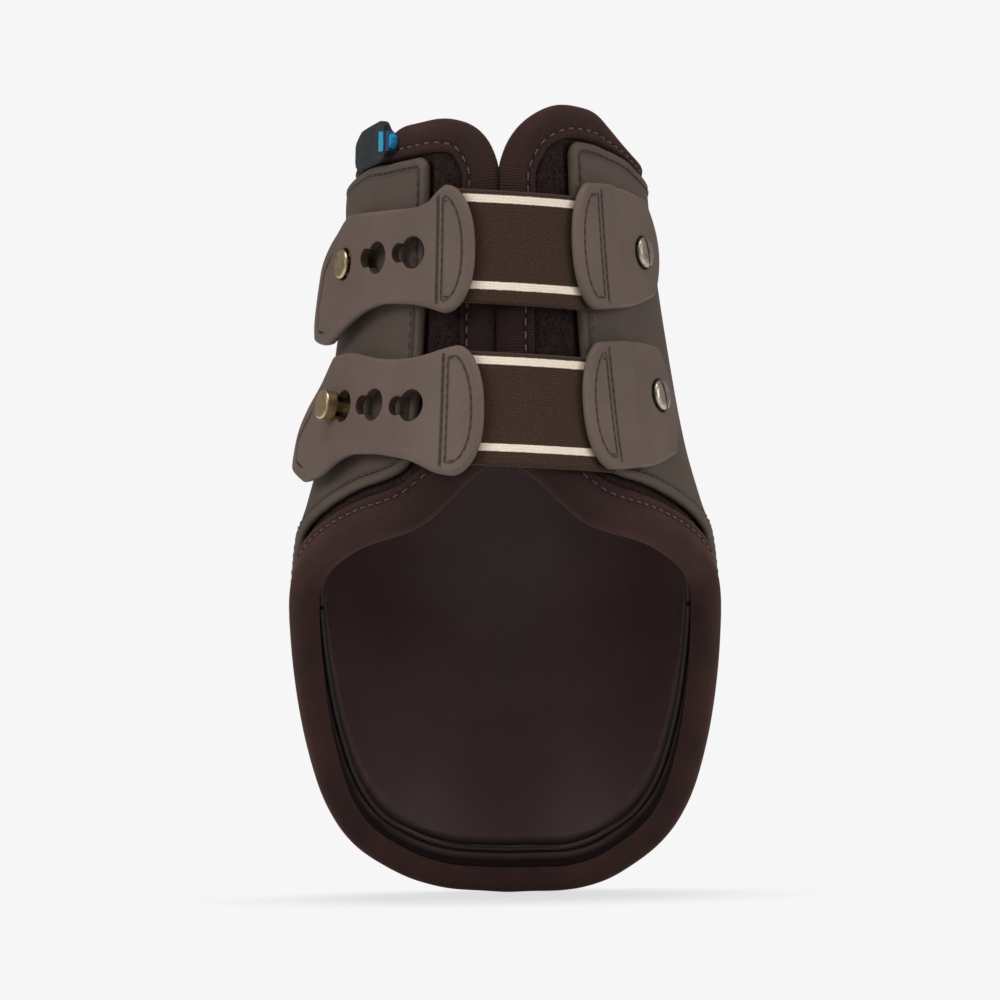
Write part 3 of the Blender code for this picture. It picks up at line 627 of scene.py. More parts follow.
def stitches(name, path, out, stitch, material, lift=0.0):
    """Threads along a path: each bows out over its length and dives in at both ends."""
    pitch, length, radius = stitch
    gone = path_length(path)
    count = int(gone[-1] / pitch)
    middle = (np.arange(count) + 0.5) * gone[-1] / count
    share = np.linspace(-1, 1, 7)
    along = middle[:, None] + share * length / 2
    centre = np.stack([np.interp(along, gone, path[:, k]) for k in range(3)], -1)
    rise = np.stack([np.interp(along, gone, out[:, k]) for k in range(3)], -1)
    side = np.cross(unit(np.gradient(centre, axis=1)), rise)
    bow = lift + radius * (0.9 - 1.5 * share**4)
    thick = radius * np.sqrt(1 - share**6)
    turn = np.linspace(0, 2 * math.pi, 7)[:, None]
    ring = side[:, None] * np.cos(turn)[..., None] + rise[:, None] * np.sin(turn)[..., None]
    points = (centre + rise * bow[:, None])[:, None] + ring * thick[:, None]
    quads = grid_faces(7, 7)
    faces = (quads[None] + 49 * np.arange(count)[:, None, None]).reshape(-1, 4)
    uv = pairs(share * length / 2, turn / (2 * math.pi))
    return piece(name, points, faces, material, np.broadcast_to(uv, (count, 7, 7, 2)))


# materials

class Wire:
    """An output socket that can stand in a sum: each operator adds a Math node."""

    def __init__(self, board, socket):
        self.board, self.socket = board, socket

    def maths(self, operation, *values):
        return self.board.add("ShaderNodeMath", {"operation": operation}, *values)

    def __add__(self, other):
        return self.maths("ADD", self, other)

    def __radd__(self, other):
        return self.maths("ADD", other, self)

    def __sub__(self, other):
        return self.maths("SUBTRACT", self, other)

    def __mul__(self, other):
        return self.maths("MULTIPLY", self, other)

    def __abs__(self):
        return self.maths("ABSOLUTE", self)


class Board:
    """The node tree of one material, round its Principled BSDF."""

    def __init__(self, name, **constants):
        self.material = bpy.data.materials.new(name)
        self.material.use_nodes = True
        self.tree = self.material.node_tree
        self.shader = next(n for n in self.tree.nodes if n.type == "BSDF_PRINCIPLED")
        self.set(self.shader, constants)

    def feed(self, socket, value):
        if isinstance(value, Wire):
            self.tree.links.new(value.socket, socket)
        elif socket.type == "RGBA":
            socket.default_value = (*value, 1.0)
        else:
            socket.default_value = value

    def set(self, node, values):
        for name, value in values.items():
            self.feed(node.inputs[name.replace("_", " ")], value)

    def add(self, kind, settings, *values, output=0, **named):
        """Adds a node: its settings first, then its sockets in order or by name."""
        node = self.tree.nodes.new(kind)
        for name, value in settings.items():
            setattr(node, name, value)
        for number, value in enumerate(values):
            self.feed(node.inputs[number], value)
        self.set(node, named)
        return Wire(self, node.outputs[output])

    def place(self):
        return self.add("ShaderNodeTexCoord", {}, output="Object")

    def uv(self):
        """The piece's own two coordinates, in metres."""
        there = self.add("ShaderNodeUVMap", {"uv_map": "UVMap"})
        return (self.add("ShaderNodeSeparateXYZ", {}, there, output=0),
                self.add("ShaderNodeSeparateXYZ", {}, there, output=1))

    def mark(self, name):
        return self.add("ShaderNodeAttribute", {"attribute_name": name}, output="Fac")

    def noise(self, where, scale, detail=2.0, roughness=0.5):
        return self.add("ShaderNodeTexNoise", {}, Vector=where, Scale=scale, Detail=detail, Roughness=roughness)

    def at(self, u, v):
        return self.add("ShaderNodeCombineXYZ", {}, u, v)

    def sine(self, value):
        return self.add("ShaderNodeMath", {"operation": "SINE"}, value)

    def smooth(self, value, low, high, start=0.0, end=1.0):
        """Start below low, end above high, and a smooth rise between."""
        settings = {"interpolation_type": "SMOOTHSTEP"}
        return self.add("ShaderNodeMapRange", settings, value, low, high, start, end)

    def dent(self, distance, reach):
        """1 on a line, falling to 0 at its reach."""
        return self.smooth(abs(distance), 0.0, reach, 1.0, 0.0)

    def mix(self, share, first, second):
        node = self.tree.nodes.new("ShaderNodeMix")
        node.data_type = "RGBA"
        for number, value in ((0, share), (6, first), (7, second)):
            self.feed(node.inputs[number], value)
        return Wire(self, node.outputs[2])

    def relief(self, height, strength=1.0):
        return self.add("ShaderNodeBump", {}, Strength=strength, Distance=1.0, Height=height)

    def done(self, **sockets):
        self.set(self.shader, sockets)
        return self.material


def moulded(name, colour, dark, lines):
    """Matt moulded rubber: soft tone, fine grain, pressed lines darkened with painted shade, and paler edges
    that are a painted highlight.
    """
    board = Board(name, Specular_IOR_Level=0.22)
    where = board.place()
    tone = board.noise(where, 55.0, 3.0)
    grain = board.noise(where, 2400.0, 3.0, 0.6)
    specks = board.noise(where, 900.0, 1.0)
    pressed = lines(board)
    edge = board.mark("edge")
    body = board.mix(board.smooth(tone, 0.35, 0.65), [c * 0.93 for c in colour], [c * 1.06 for c in colour])
    body = board.mix(board.smooth(specks, 0.55, 0.75, 0.0, 0.12), body, [c * 1.5 for c in colour])
    # painted highlight: the colour is made paler within about a millimetre of the edges, patchy with the tone,
    # for the light the rounded edges catch
    edge_highlight = board.smooth(edge, 0.2 * mm, 1.1 * mm, 0.35, 0.0) * board.smooth(tone, 0.3, 0.6)
    body = board.mix(edge_highlight, body, [c * 1.35 for c in colour])
    # painted shade: the pressed lines are darkened towards the dark colour for the shade down in them
    body = board.mix(pressed * 0.75, body, dark)
    height = grain * (0.05 * mm) - pressed * (0.32 * mm) + tone * (0.25 * mm)
    rough = 0.50 + grain * 0.12 - pressed * 0.05
    return board.done(Base_Color=body, Roughness=rough, Normal=board.relief(height))


def shell_lines(board):
    """Two pressed lines that run round inside the shell's edge."""
    edge = board.mark("edge")
    return board.dent(edge - shell_seam_inset, 0.45 * mm) + board.dent(edge - 3.15 * mm, 0.30 * mm) * 0.35


def tab_lines(board):
    """A deep line across a tab, a line round its D-shaped end and a short one by its tip."""
    inside = board.smooth(board.mark("edge"), 1.3 * mm, 1.8 * mm)
    deep = board.dent(board.mark("line"), 0.62 * mm) * inside
    # the grip mark, the line by the tip and the collar round the screw, joins the pressed lines and so takes
    # their painted shade
    return deep + board.dent(board.mark("ring"), 0.42 * mm) * 0.85 + board.mark("grip")


def binding_cloth():
    """Ribbed stretch binding: fine ribs across its width, soft bloom, flattened along the seam, and painted
    shade at the front between the straps.
    """
    board = Board("ribbed_binding", Sheen_Weight=0.22, Sheen_Roughness=0.45, Specular_IOR_Level=0.12,
                  Sheen_Tint=(0.50, 0.24, 0.20))
    where = board.place()
    u, v = board.uv()
    broad = board.noise(where, 70.0, 3.0)
    wander = board.noise(where, 260.0, 1.0)
    fibre = board.noise(board.at(u * 0.35, v), 3800.0, 2.0)
    rib = board.sine((u + wander * (0.5 * mm)) * (2 * math.pi / (0.72 * mm)))
    ribbed = board.mark("ribs") * board.smooth(broad, 0.30, 0.55, 0.45, 1.0)
    tone = board.mix(board.smooth(broad, 0.35, 0.65), (0.030, 0.0156, 0.0136), (0.044, 0.0200, 0.0176))
    tone = board.mix(board.smooth(rib, 0.1, 1.0) * ribbed * 0.75, tone, (0.009, 0.0045, 0.004))
    tone = board.mix(board.smooth(fibre, 0.5, 0.8, 0.0, 0.30), tone, (0.078, 0.042, 0.036))
    # painted shade: the shade mark darkens the colour for the shadow that the straps cast on the binding
    # between them
    tone = board.mix(board.mark("shade") * 0.5, tone, (0.006, 0.003, 0.003))
    height = rib * ribbed * (-0.055 * mm) + fibre * (0.05 * mm) + broad * (0.5 * mm)
    return board.done(Base_Color=tone, Roughness=0.80 + fibre * 0.12, Normal=board.relief(height))


def mesh_cloth():
    """Open spacer mesh: knitted cells with dark hollows and stray pale fibres."""
    board = Board("spacer_mesh", Sheen_Weight=0.15, Sheen_Roughness=0.6, Specular_IOR_Level=0.1,
                  Sheen_Tint=(0.3, 0.18, 0.15))
    where = board.place()
    warp = board.noise(where, 500.0, 2.0)
    cell = board.add("ShaderNodeTexVoronoi", {"feature": "F1"}, Vector=where, Scale=700.0, Randomness=0.7)
    fibre = board.noise(where, 1900.0, 3.0, 0.65)
    hollow = board.smooth(cell, 0.15, 0.45, 1.0, 0.0)
    tone = board.mix(board.smooth(warp, 0.35, 0.65), (0.0110, 0.0062, 0.0050), (0.0200, 0.0118, 0.0096))
    tone = board.mix(hollow * 0.8, tone, (0.003, 0.002, 0.002))
    tone = board.mix(board.smooth(fibre, 0.52, 0.74, 0.0, 0.7), tone, (0.052, 0.034, 0.028))
    height = fibre * (0.35 * mm) - hollow * (0.30 * mm) + warp * (0.35 * mm)
    return board.done(Base_Color=tone, Roughness=0.92, Normal=board.relief(height))


def lining_cloth(name="smooth_lining", rough=0.46, depth=1.0):
    """Smooth skinned neoprene: near black brown, faint pores, slow swells, and painted shade near to black
    where the groove mark is set.
    """
    board = Board(name, Specular_IOR_Level=0.22)
    where = board.place()
    broad = board.noise(where, 45.0, 2.0)
    pores = board.noise(where, 2200.0, 2.0)
    tone = board.mix(board.smooth(broad, 0.35, 0.65), [depth * c for c in (0.0500, 0.0280, 0.0262)],
                     [depth * c for c in (0.0590, 0.0330, 0.0312)])
    # painted shade: the groove mark takes the colour near to black in the gap by the binding and in the groove
    # by the bead
    groove = board.mark("groove")
    tone = board.mix(groove * 0.92, tone, (0.0035, 0.0015, 0.0015))
    height = broad * (0.4 * mm) + pores * (0.02 * mm)
    shine = rough + pores * 0.10 + broad * 0.08 + groove * 0.45
    return board.done(Base_Color=tone, Roughness=shine, Normal=board.relief(height))


def elastic_cloth():
    """Woven elastic: close ribs along its length, cross threads, pale flecks and two cream stripes."""
    board = Board("woven_elastic", Sheen_Weight=0.1, Sheen_Roughness=0.5, Specular_IOR_Level=0.12)
    u, v = board.uv()
    where = board.place()
    wander = board.noise(where, 420.0, 1.0)
    ribs = board.sine((v + wander * (0.10 * mm)) * (2 * math.pi / (0.62 * mm)))
    picks = board.sine(u * (2 * math.pi / (0.85 * mm)) + ribs * 1.4)
    flecks = board.noise(board.at(u * 0.6, v), 4200.0, 2.0, 0.6)
    waver = (board.noise(where, 900.0, 1.0) - 0.5) * (0.20 * mm)
    upper, lower = (board.smooth(abs(v + waver - place), *stripe_halves, 1.0, 0.0) for place in stripe_places)
    stripe = upper + lower
    dark = board.mix(board.smooth(flecks, 0.45, 0.75), (0.038, 0.0190, 0.0118), (0.096, 0.053, 0.033))
    dark = board.mix(board.smooth(ribs, 0.2, 1.0, 0.0, 0.35), dark, (0.020, 0.010, 0.0065))
    cream = board.mix(board.smooth(flecks, 0.35, 0.7), (0.80, 0.69, 0.56), (0.89, 0.79, 0.66))
    tone = board.mix(stripe, dark, cream)
    height = ribs * (0.032 * mm) + picks * (0.020 * mm) + flecks * (0.06 * mm)
    return board.done(Base_Color=tone, Roughness=0.86, Normal=board.relief(height))


def thread(name, colour):
    """Twisted thread: strands wind round it."""
    board = Board(name, Sheen_Weight=0.2, Specular_IOR_Level=0.3)
    u, v = board.uv()
    strand = board.sine(u * (2 * math.pi / (0.9 * mm)) + v * (4 * math.pi))
    fuzz = board.noise(board.place(), 4000.0, 1.0)
    tone = board.mix(board.smooth(strand, -0.6, 0.8), [c * 0.6 for c in colour], [c * 1.2 for c in colour])
    return board.done(Base_Color=tone, Roughness=0.7 + fuzz * 0.2,
                      Normal=board.relief(strand * (0.03 * mm) + fuzz * (0.02 * mm)))


def metal(name, colour, dull, rough):
    """Turned and polished metal: handling marks and dull patches."""
    board = Board(name, Metallic=1.0)
    where = board.place()
    patches = board.noise(where, 420.0, 4.0, 0.6)
    marks = board.noise(where, 2600.0, 2.0)
    tone = board.mix(board.smooth(patches, 0.42, 0.68), colour, dull)
    shine = rough + board.smooth(patches, 0.4, 0.7, 0.0, 0.18) + marks * 0.06
    return board.done(Base_Color=tone, Roughness=shine, Normal=board.relief(marks * (0.012 * mm)))


def label_cloth():
    """Woven label: fine plain weave in slate, with bright blue bands by its fold."""
    board = Board("label_cloth", Sheen_Weight=0.08, Specular_IOR_Level=0.15)
    u, v = board.uv()
    weave = board.sine(u * (2 * math.pi / (0.42 * mm))) * board.sine(v * (2 * math.pi / (0.42 * mm)))
    frayed = board.noise(board.place(), 1500.0, 2.0)
    shift = (frayed - 0.5) * (0.5 * mm)
    tall = board.smooth(abs(v + shift - 7.2 * mm), 2.3 * mm, 2.6 * mm, 1.0, 0.0)
    black = board.smooth(u, 19.2 * mm, 19.6 * mm)
    tone = board.mix(board.smooth(frayed, 0.4, 0.7), (0.012, 0.017, 0.019), (0.024, 0.030, 0.032))
    tone = board.mix(black, tone, (0.006, 0.007, 0.009))
    for place, solid, faded, colour in label_bands:
        band = board.smooth(abs(u + shift - place), solid, faded, 1.0, 0.0)
        tone = board.mix(band * tall, tone, colour)
    height = weave * (0.04 * mm) + frayed * (0.12 * mm)
    return board.done(Base_Color=tone, Roughness=0.82, Normal=board.relief(height))


# the second colour of each moulded rubber is the painted shade in its pressed lines
shell_rubber = moulded("moulded_shell", (0.084, 0.060, 0.047), (0.022, 0.014, 0.011), shell_lines)
tab_rubber = moulded("moulded_tab", (0.122, 0.086, 0.070), (0.026, 0.016, 0.012), tab_lines)
binding_fabric = binding_cloth()
mesh_fabric = mesh_cloth()
lining_skin = lining_cloth()
welt_skin = lining_cloth("welt_skin", 0.24, 0.35)
elastic_fabric = elastic_cloth()
pale_thread = thread("pale_thread", (0.092, 0.060, 0.050))
dark_thread = thread("dark_thread", (0.048, 0.032, 0.026))
brass = metal("brass", (0.62, 0.47, 0.27), (0.34, 0.25, 0.14), 0.24)
nickel = metal("nickel", (0.55, 0.48, 0.40), (0.30, 0.25, 0.20), 0.28)
steel = metal("steel", (0.45, 0.45, 0.46), (0.30, 0.30, 0.31), 0.38)
label_fabric = label_cloth()


# the padded body

rim_line = surface(rim["turn"], rim["height"])
rim_line = np.vstack([rim_line, rim_line[:1]])


def girth_places(theta, height):
    """Two coordinates over a grid for its UV map: distance round the leg from the back, and height."""
    rate = girth_rate(theta, height)
    return np.stack([(theta - math.pi) * rate.mean(), height], -1)


def make_pad():
    """Foam with its mesh face: swells between the binding and the shell, and lies flat under the shell."""
    theta, height = wall_grid(wall_gap, spaced(wall_columns, wall_girth), spaced(110, wall_height))
    edge = distance_to(rim_line, surface(theta, height)) - pad_swell_inset
    bare = 1 - ease(folded(theta), shell_front_angle - 2, shell_front_angle + 1)
    shell_low = level(theta, inset(rim["width"] + layer_gap + shell_margin), stretches()[2])
    bare = np.maximum(bare, ease(shell_low - height, -1 * mm, 1 * mm))
    outer = pad_face + pad_swell * rounding(edge, pad_swell_reach) * bare
    pad = plate("padded_mesh_body", leaned(theta, height), height, outer, np.full(theta.shape, pad_back),
                mesh_fabric, girth_places(theta, height))
    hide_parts("spacer_mesh", "foam_core")
    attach(pad, "boot")


def make_lining():
    """Smooth lining with a raised panel inside the cup. A gap and a groove run on either side of the bead, both
    darkened with painted shade.
    """
    inside = rim["width"] * (inner_lap_share - 1) + wall_gap
    theta, height = wall_grid(inside, spaced(wall_columns, wall_girth), spaced(120, wall_height))
    from_edge = distance_to(rim_line, surface(theta, height))
    low = ease(bottom_edge(theta) + panel_reach - height, 0, panel_fade) * ease(folded(theta), *panel_angles)
    panel = ease(from_edge, panel_inset - 0.4 * mm, panel_inset + 1.6 * mm)
    gap = 1 - ease(from_edge, welt_inset - 1.2 * mm, welt_inset - 0.4 * mm)
    groove = ease(from_edge, welt_inset + 0.4 * mm, welt_inset + 0.9 * mm) * (1 - panel)
    swell = panel_rise * panel - groove_depth * (groove + gap)
    face = lining_face - swell * low
    # the groove mark carries the painted shade of the gap and the groove
    lining = plate("smooth_lining", leaned(theta, height), height, np.full(theta.shape, lining_back), face,
                   lining_skin, girth_places(theta, height), {"groove": (gap + groove) * low})
    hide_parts("inner_lining")
    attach(lining, "boot")


def make_binding():
    """The rolled edge: a section of a lip, a flat face, a round nose, an inner face and a step for the
    lining, carried round the rim. The outer face dips along the seam and swells on both sides of it.
    """
    face, back = binding_proud, lining_face - binding_lap
    nose = np.linspace(0, math.pi, 19)
    depth = np.where(nose < math.pi / 2, nose_share, 0.30)
    flat = np.linspace(0.86, 0.46, 17)
    inner = inner_lap_share
    section = np.concatenate([
        [(1.0, -0.6 * mm), (1.0, 0.3 * mm), (0.985, 0.9 * mm), (0.955, face - 0.35 * mm),
         (0.91, face - 0.08 * mm)],
        np.stack([flat, face + 0 * flat], -1),
        np.stack([depth * (1 - np.sin(nose)), (face + back) / 2 + (face - back) / 2 * np.cos(nose)], -1),
        [(inner - 0.09, back), (inner - 0.05, back + 0.12 * mm), (inner - 0.015, back + 0.4 * mm),
         (inner, back + 0.9 * mm), (inner, pad_back), (1.0, pad_back), (1.0, -0.6 * mm)]])
    across, offset = section[:, :1], section[:, 1:]
    outer = np.clip(offset / face, 0, 1) ** 3
    seam = np.exp(-(((across - seam_share) / 0.055) ** 2)) * outer
    crown = np.sin(math.pi * np.clip(across / seam_share, 0, 1)) * crown_rise
    crown = crown + ledge_rise * (across > seam_share)
    gather = np.exp(-(((across - seam_share) / 0.10) ** 2)) * outer
    pucker = pucker_depth * np.sin(rim["gone"] * 2 * math.pi / pucker_pitch) * gather
    inward = np.sin(math.pi * np.clip(across / inner, 0, 1)) * crown_rise * (offset < back + 0.1 * mm)
    detail = crown * outer - seam_depth * seam + pucker - inward
    closed = np.append(np.arange(rim_points), 0)
    facing = 1 - ease(folded(rim["turn"]), 4, 14)
    swell = facing_swell * facing * np.clip(1 - across / nose_share, 0, 1)
    turn, height = inset(rim["width"] * (across - swell))
    points = surface(leaned(turn, height), height, offset + detail)[:, closed]
    uv = pairs(np.append(rim["gone"], rim["length"]), path_length(points[:, 0])[:, None])
    near = 1 - ease(folded(turn), 34, 60)
    ribs = (0.10 + 0.90 * near)[:, closed]
    # painted shade: the front of the binding between the straps is darkened in its colour for the shadow the
    # straps cast there
    shade = 1 - ease(folded(turn), 12, 20)
    shade = shade * ease(height, *shade_start) * (1 - ease(height, *shade_end))
    marks = {"ribs": ribs, "shade": shade[:, closed]}
    binding = piece("rolled_binding", points, grid_faces(*points.shape[:2]), binding_fabric, uv, marks)
    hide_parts("edge_binding")
    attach(binding, "boot")
    turn, height = (row[closed] for row in inset(rim["width"] * seam_share))
    turn = leaned(turn, height)
    path, out = surface(turn, height, face - binding_thread_sink), normal(turn, height)
    row = stitches("binding_stitches", path, out, binding_stitch, pale_thread)
    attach(row, "boot")


def make_welt():
    """Glossy bead inside the cup: a round section along the inset rim, thinner at both ends."""
    turn, height = inset(np.full(rim_points, welt_inset))
    bottom = stretches()[2]
    kept = bottom[folded(turn[bottom]) > welt_angle]
    turn, height = turn[kept], height[kept]
    centre = surface(turn, height, lining_face - welt_sink)
    out = normal(turn, height)
    side = np.cross(unit(np.gradient(centre, axis=0)), out)
    share = np.linspace(0, 1, len(centre))
    thick = welt_radius * rounding(np.minimum(share, 1 - share), 0.06)
    around = np.linspace(0, 2 * math.pi, 17)[:, None, None]
    points = centre + (side * np.cos(around) + out * np.sin(around)) * thick[:, None]
    welt = piece("cup_bead", points, grid_faces(*points.shape[:2]), welt_skin, pairs(share, around[..., 0]))
    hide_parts("cup_welt")
    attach(welt, "boot")


def make_shell():
    """Moulded shell: rounded corners and edges, a slim raised rim, a stitched line inside it, and a
    low bulge at the upper left."""
    columns, rows = spaced(230, shell_girth), spaced(120, shell_height)
    first = math.radians(shell_front_angle)
    turn = first + (2 * math.pi - 2 * first) * columns
    edge = inset(rim["width"] + layer_gap)
    _, top, bottom = stretches()
    high = level(turn, edge, top) - layer_gap
    low = level(turn, inset(rim["width"] + layer_gap + shell_margin), bottom)
    rate = girth_rate(turn, (low + high) / 2)
    from_front = np.minimum(turn - first, 2 * math.pi - first - turn) * rate
    into = np.clip(shell_corner - from_front, 0, shell_corner)
    cut = shell_corner - np.sqrt(shell_corner**2 - into**2)
    height = low + cut + (high - low - 2 * cut) * rows[:, None]
    theta = turn + 0 * height
    from_edge = from_border(surface(theta, height))
    middle, half = (shell_inner + shell_outer) / 2, (shell_outer - shell_inner) / 2
    bulk = half * rounding(from_edge, shell_edge_radius)
    rise = shell_rim_rise * (1 - ease(from_edge, 1.6 * mm, 2.6 * mm)) * ease(from_edge, 0, 0.8 * mm)
    bulge = np.exp(-(((height - bulge_height) / bulge_reach) ** 2)) * is_left(theta)
    rise = rise + shell_bulge * bulge * ease(folded(theta), *bulge_angles)
    shell = plate("moulded_shell", theta, height, middle + bulk + rise, middle - bulk, shell_rubber,
                  girth_places(theta, height), {"edge": from_edge})
    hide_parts("outer_shell")
    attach(shell, "boot")
    ring_turn = math.pi + (turn - math.pi) * (1 - shell_seam_inset / (math.pi - first) / rate)
    ring_low = np.interp(ring_turn, turn, low + cut) + shell_seam_inset
    ring_high = np.interp(ring_turn, turn, high - cut) - shell_seam_inset
    ring_turn = np.concatenate([ring_turn, ring_turn[::-1], ring_turn[:1]])
    ring_height = np.concatenate([ring_low, ring_high[::-1], ring_low[:1]])
    path = surface(ring_turn, ring_height, shell_outer)
    row = stitches("shell_stitches", path, normal(ring_turn, ring_height), shell_stitch, dark_thread)
    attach(row, "boot")


# the straps

def d_end(across, near, far):
    """Angles of a D-shaped end: nearest the front in the middle, falling back to both edges. The end is
    part of a circle made squarer by a power a little over two."""
    def fall(share):
        return 1 - (1 - (d_round_share * np.abs(share)) ** d_power) ** (1 / d_power)
    return near + (far - near) * fall(across) / fall(1.0)


def keyhole_tab_grid(strap, across, along):
    """Angles, heights and lift of a keyhole tab: a D-shaped end at the front, a drooping round tip."""
    front = d_end(across, *strap["d_end_angles"])
    tip = smooth_curve(across, tip_place_shares, strap["tip_angles"])
    turn = front + (tip - front) * along
    top = smooth_curve(turn, strap["edge_angles"], strap["top_shares"])
    bottom = smooth_curve(turn, strap["edge_angles"], strap["bottom_shares"])
    height = strap["centre"] + tab_height * (bottom + (top - bottom) * (across + 1) / 2)
    return np.radians(-turn), height, tab_inner + tab_tip_lift * ease(turn, *tip_lift_angles)


def anchor_tab_grid(strap, across, along):
    """Angles, heights and lift of an anchor tab, which settles on the shell by the screw."""
    front = d_end(across, *anchor_d_angles)
    middle, corner = strap["anchor_far_angles"]
    back = middle + (corner - middle) * across**2
    turn = front + (back - front) * along
    top, bottom = (smooth_curve(turn, anchor_edge_angles, strap[shares])
                   for shares in ("anchor_tops", "anchor_bottoms"))
    reach = np.where(across > 0, top, bottom)
    height = strap["centre"] + tab_height * reach * across
    settled = ease(turn, *anchor_settle_angles)
    return np.radians(turn), height, tab_inner + (anchor_inner - tab_inner) * settled


def screw_place(strap):
    """Angle and height of a strap's screw."""
    return math.radians(strap["screw_angle"]), strap["centre"] + tab_height * strap["screw_share"]


def keyhole_seats(strap):
    """Angles and heights of a tab's three keyholes, the first round the stud."""
    turn = math.radians(-strap["stud_angle"])
    seats, pitch = [], strap["first_pitch"]
    for share in strap["keyhole_height_shares"]:
        height = strap["centre"] + tab_height * share
        seats.append((turn, height))
        turn = float(walk(np.float64(turn), np.float64(height), pitch, tab_outer))
        pitch = keyhole_pitch
    return seats


def keyhole_outline(travel):
    """A small circle joined by a short slot to a large one: the x and y of its outline. With a travel
    below zero the large circle is at the origin and the small one laps it on the other side."""
    small = stud_neck_radius + keyhole_clearance
    large = stud_head_radius + keyhole_clearance
    if travel < 0:
        turn = np.linspace(0, 2 * math.pi, 97)[:-1]
        lobe = travel * np.cos(turn) + np.sqrt(small**2 - (travel * np.sin(turn)) ** 2)
        reach = np.maximum(large, lobe)
        return np.c_[reach * np.cos(turn), reach * np.sin(turn)]
    waist = small - keyhole_clearance / 3
    small_turn, large_turn = math.asin(waist / small), math.asin(waist / large)
    near = np.linspace(small_turn, 2 * math.pi - small_turn, 40)
    far = np.linspace(large_turn - math.pi, math.pi - large_turn, 56)
    x = np.concatenate([small * np.cos(near), travel + large * np.cos(far)])
    y = np.concatenate([small * np.sin(near), large * np.sin(far)])
    return np.c_[x, y]


def make_tab(name, grid, strap, groove_angle, node, body, holes, length):
    """A moulded tab: rounded edges, rounded rims round its keyholes, and the marks that its lines follow.
    A keyhole tab has a short pressed line by its tip, and an anchor tab a sunk seat for the screw."""
    across = 2 * spaced(112, tab_height)[:, None] - 1
    along = spaced(int(length / tab_step), length)[None, :]
    theta, height, inner = grid(strap, across, along)
    inner = inner + 0 * theta
    outside = surface(theta, height, inner)
    edge = from_border(outside)
    rim_gap = np.full(theta.shape, 1.0)
    cutters = []
    for number, (turn, level_here) in enumerate(holes):
        seat = placed(np.float64(turn), np.float64(level_here))
        hole = keyhole_outline(keyhole_travel if number else strap["stud_travel"])
        cutters.append(prism(hole, tab_inner - 2 * mm, tab_outer + 3 * mm, seat))
        shape = np.c_[hole, np.full(len(hole), tab_inner)]
        shape = seat[0] + np.vstack([shape, shape[:1]]) @ seat[1]
        rim_gap = np.minimum(rim_gap, distance_to(shape, outside))
    half = (tab_outer - tab_inner) / 2
    rate = girth_rate(theta, height, inner)
    from_line = (math.radians(groove_angle) - np.abs(theta)) * rate
    ring = np.minimum(edge - ring_inset, from_line - ring_gap)
    bulk = half * rounding(edge, tab_edge_radius)
    soft = hole_edge_drop * (1 - rounding(rim_gap, hole_edge_reach))
    panel = d_panel_drop * ease(ring, 0.1 * mm, 0.7 * mm)
    tip = np.degrees(np.abs(theta))
    far = ease(tip, *grip_angles) if holes else 0 * tip
    grip = np.exp(-(((edge - grip_inset) / grip_reach) ** 2)) * far
    grip = 0.8 * grip * ease(strap["centre"] + 0.15 * tab_height - height, 0, 4 * mm)
    if not holes:
        hub = surface(*screw_place(strap), inner)
        grip = grip + ease(screw_head_radius + collar_gap - np.linalg.norm(outside - hub, axis=-1), 0, 0.4 * mm)
    uv = np.stack([from_line, height - strap["centre"]], -1)
    outer = inner + half + bulk - soft - panel - grip_depth * grip
    tab = plate(name, theta, height, outer, inner + half - bulk, tab_rubber, uv,
                {"edge": edge, "line": from_line - line_gap, "ring": ring, "grip": grip})
    if cutters:
        carve(tab, cutters)
    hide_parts(node)
    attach(tab, body)
    return {"theta": theta, "height": height, "outer": outer, "ring": ring}


def zero_line(field, theta, height, outer):
    """Points of a tab's grid where a field passes zero between two neighbours of one row."""
    rows, columns = np.nonzero(field[:, :-1] * field[:, 1:] < 0)
    share = field[rows, columns] / (field[rows, columns] - field[rows, columns + 1])
    return [row[rows, columns] + (row[rows, columns + 1] - row[rows, columns]) * share
            for row in (theta, height, outer)]


def tab_stitches(name, made, node, body, groove_angle):
    """Thread round the D and across the straight line of a tab."""
    theta, height, outer = made["theta"], made["height"], made["outer"]
    turn, rise, out = zero_line(made["ring"], theta, height, outer)
    front = np.abs(turn) < np.abs(turn).mean()
    order = np.argsort(rise[front])
    arc = [row[front][order] for row in (turn, rise, out)]
    rate = girth_rate(theta.mean(), height.mean(), out.mean())
    ring_turn, line_turn = (math.copysign(math.radians(groove_angle) - gap / rate, theta.flat[0])
                            for gap in (ring_gap, line_gap))
    back = [np.full(30, ring_turn), np.linspace(arc[1][-1], arc[1][0], 30), np.full(30, arc[2].mean())]
    loop = [np.concatenate([a, b, a[:1]]) for a, b in zip(arc, back)]
    path, normals = surface(*loop), normal(loop[0], loop[1])
    row = stitches(name, path, normals, tab_stitch, dark_thread, -stitch_sink)
    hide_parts(node)
    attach(row, body)
    straight_turn = np.full(60, line_turn)
    straight = np.linspace(arc[1].min() - line_overrun, arc[1].max() + line_overrun, 60)
    lift = np.full(60, arc[2].mean())
    row = stitches(name + "_line", surface(straight_turn, straight, lift), normal(straight_turn, straight),
                   tab_stitch, dark_thread, -stitch_sink)
    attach(row, body)


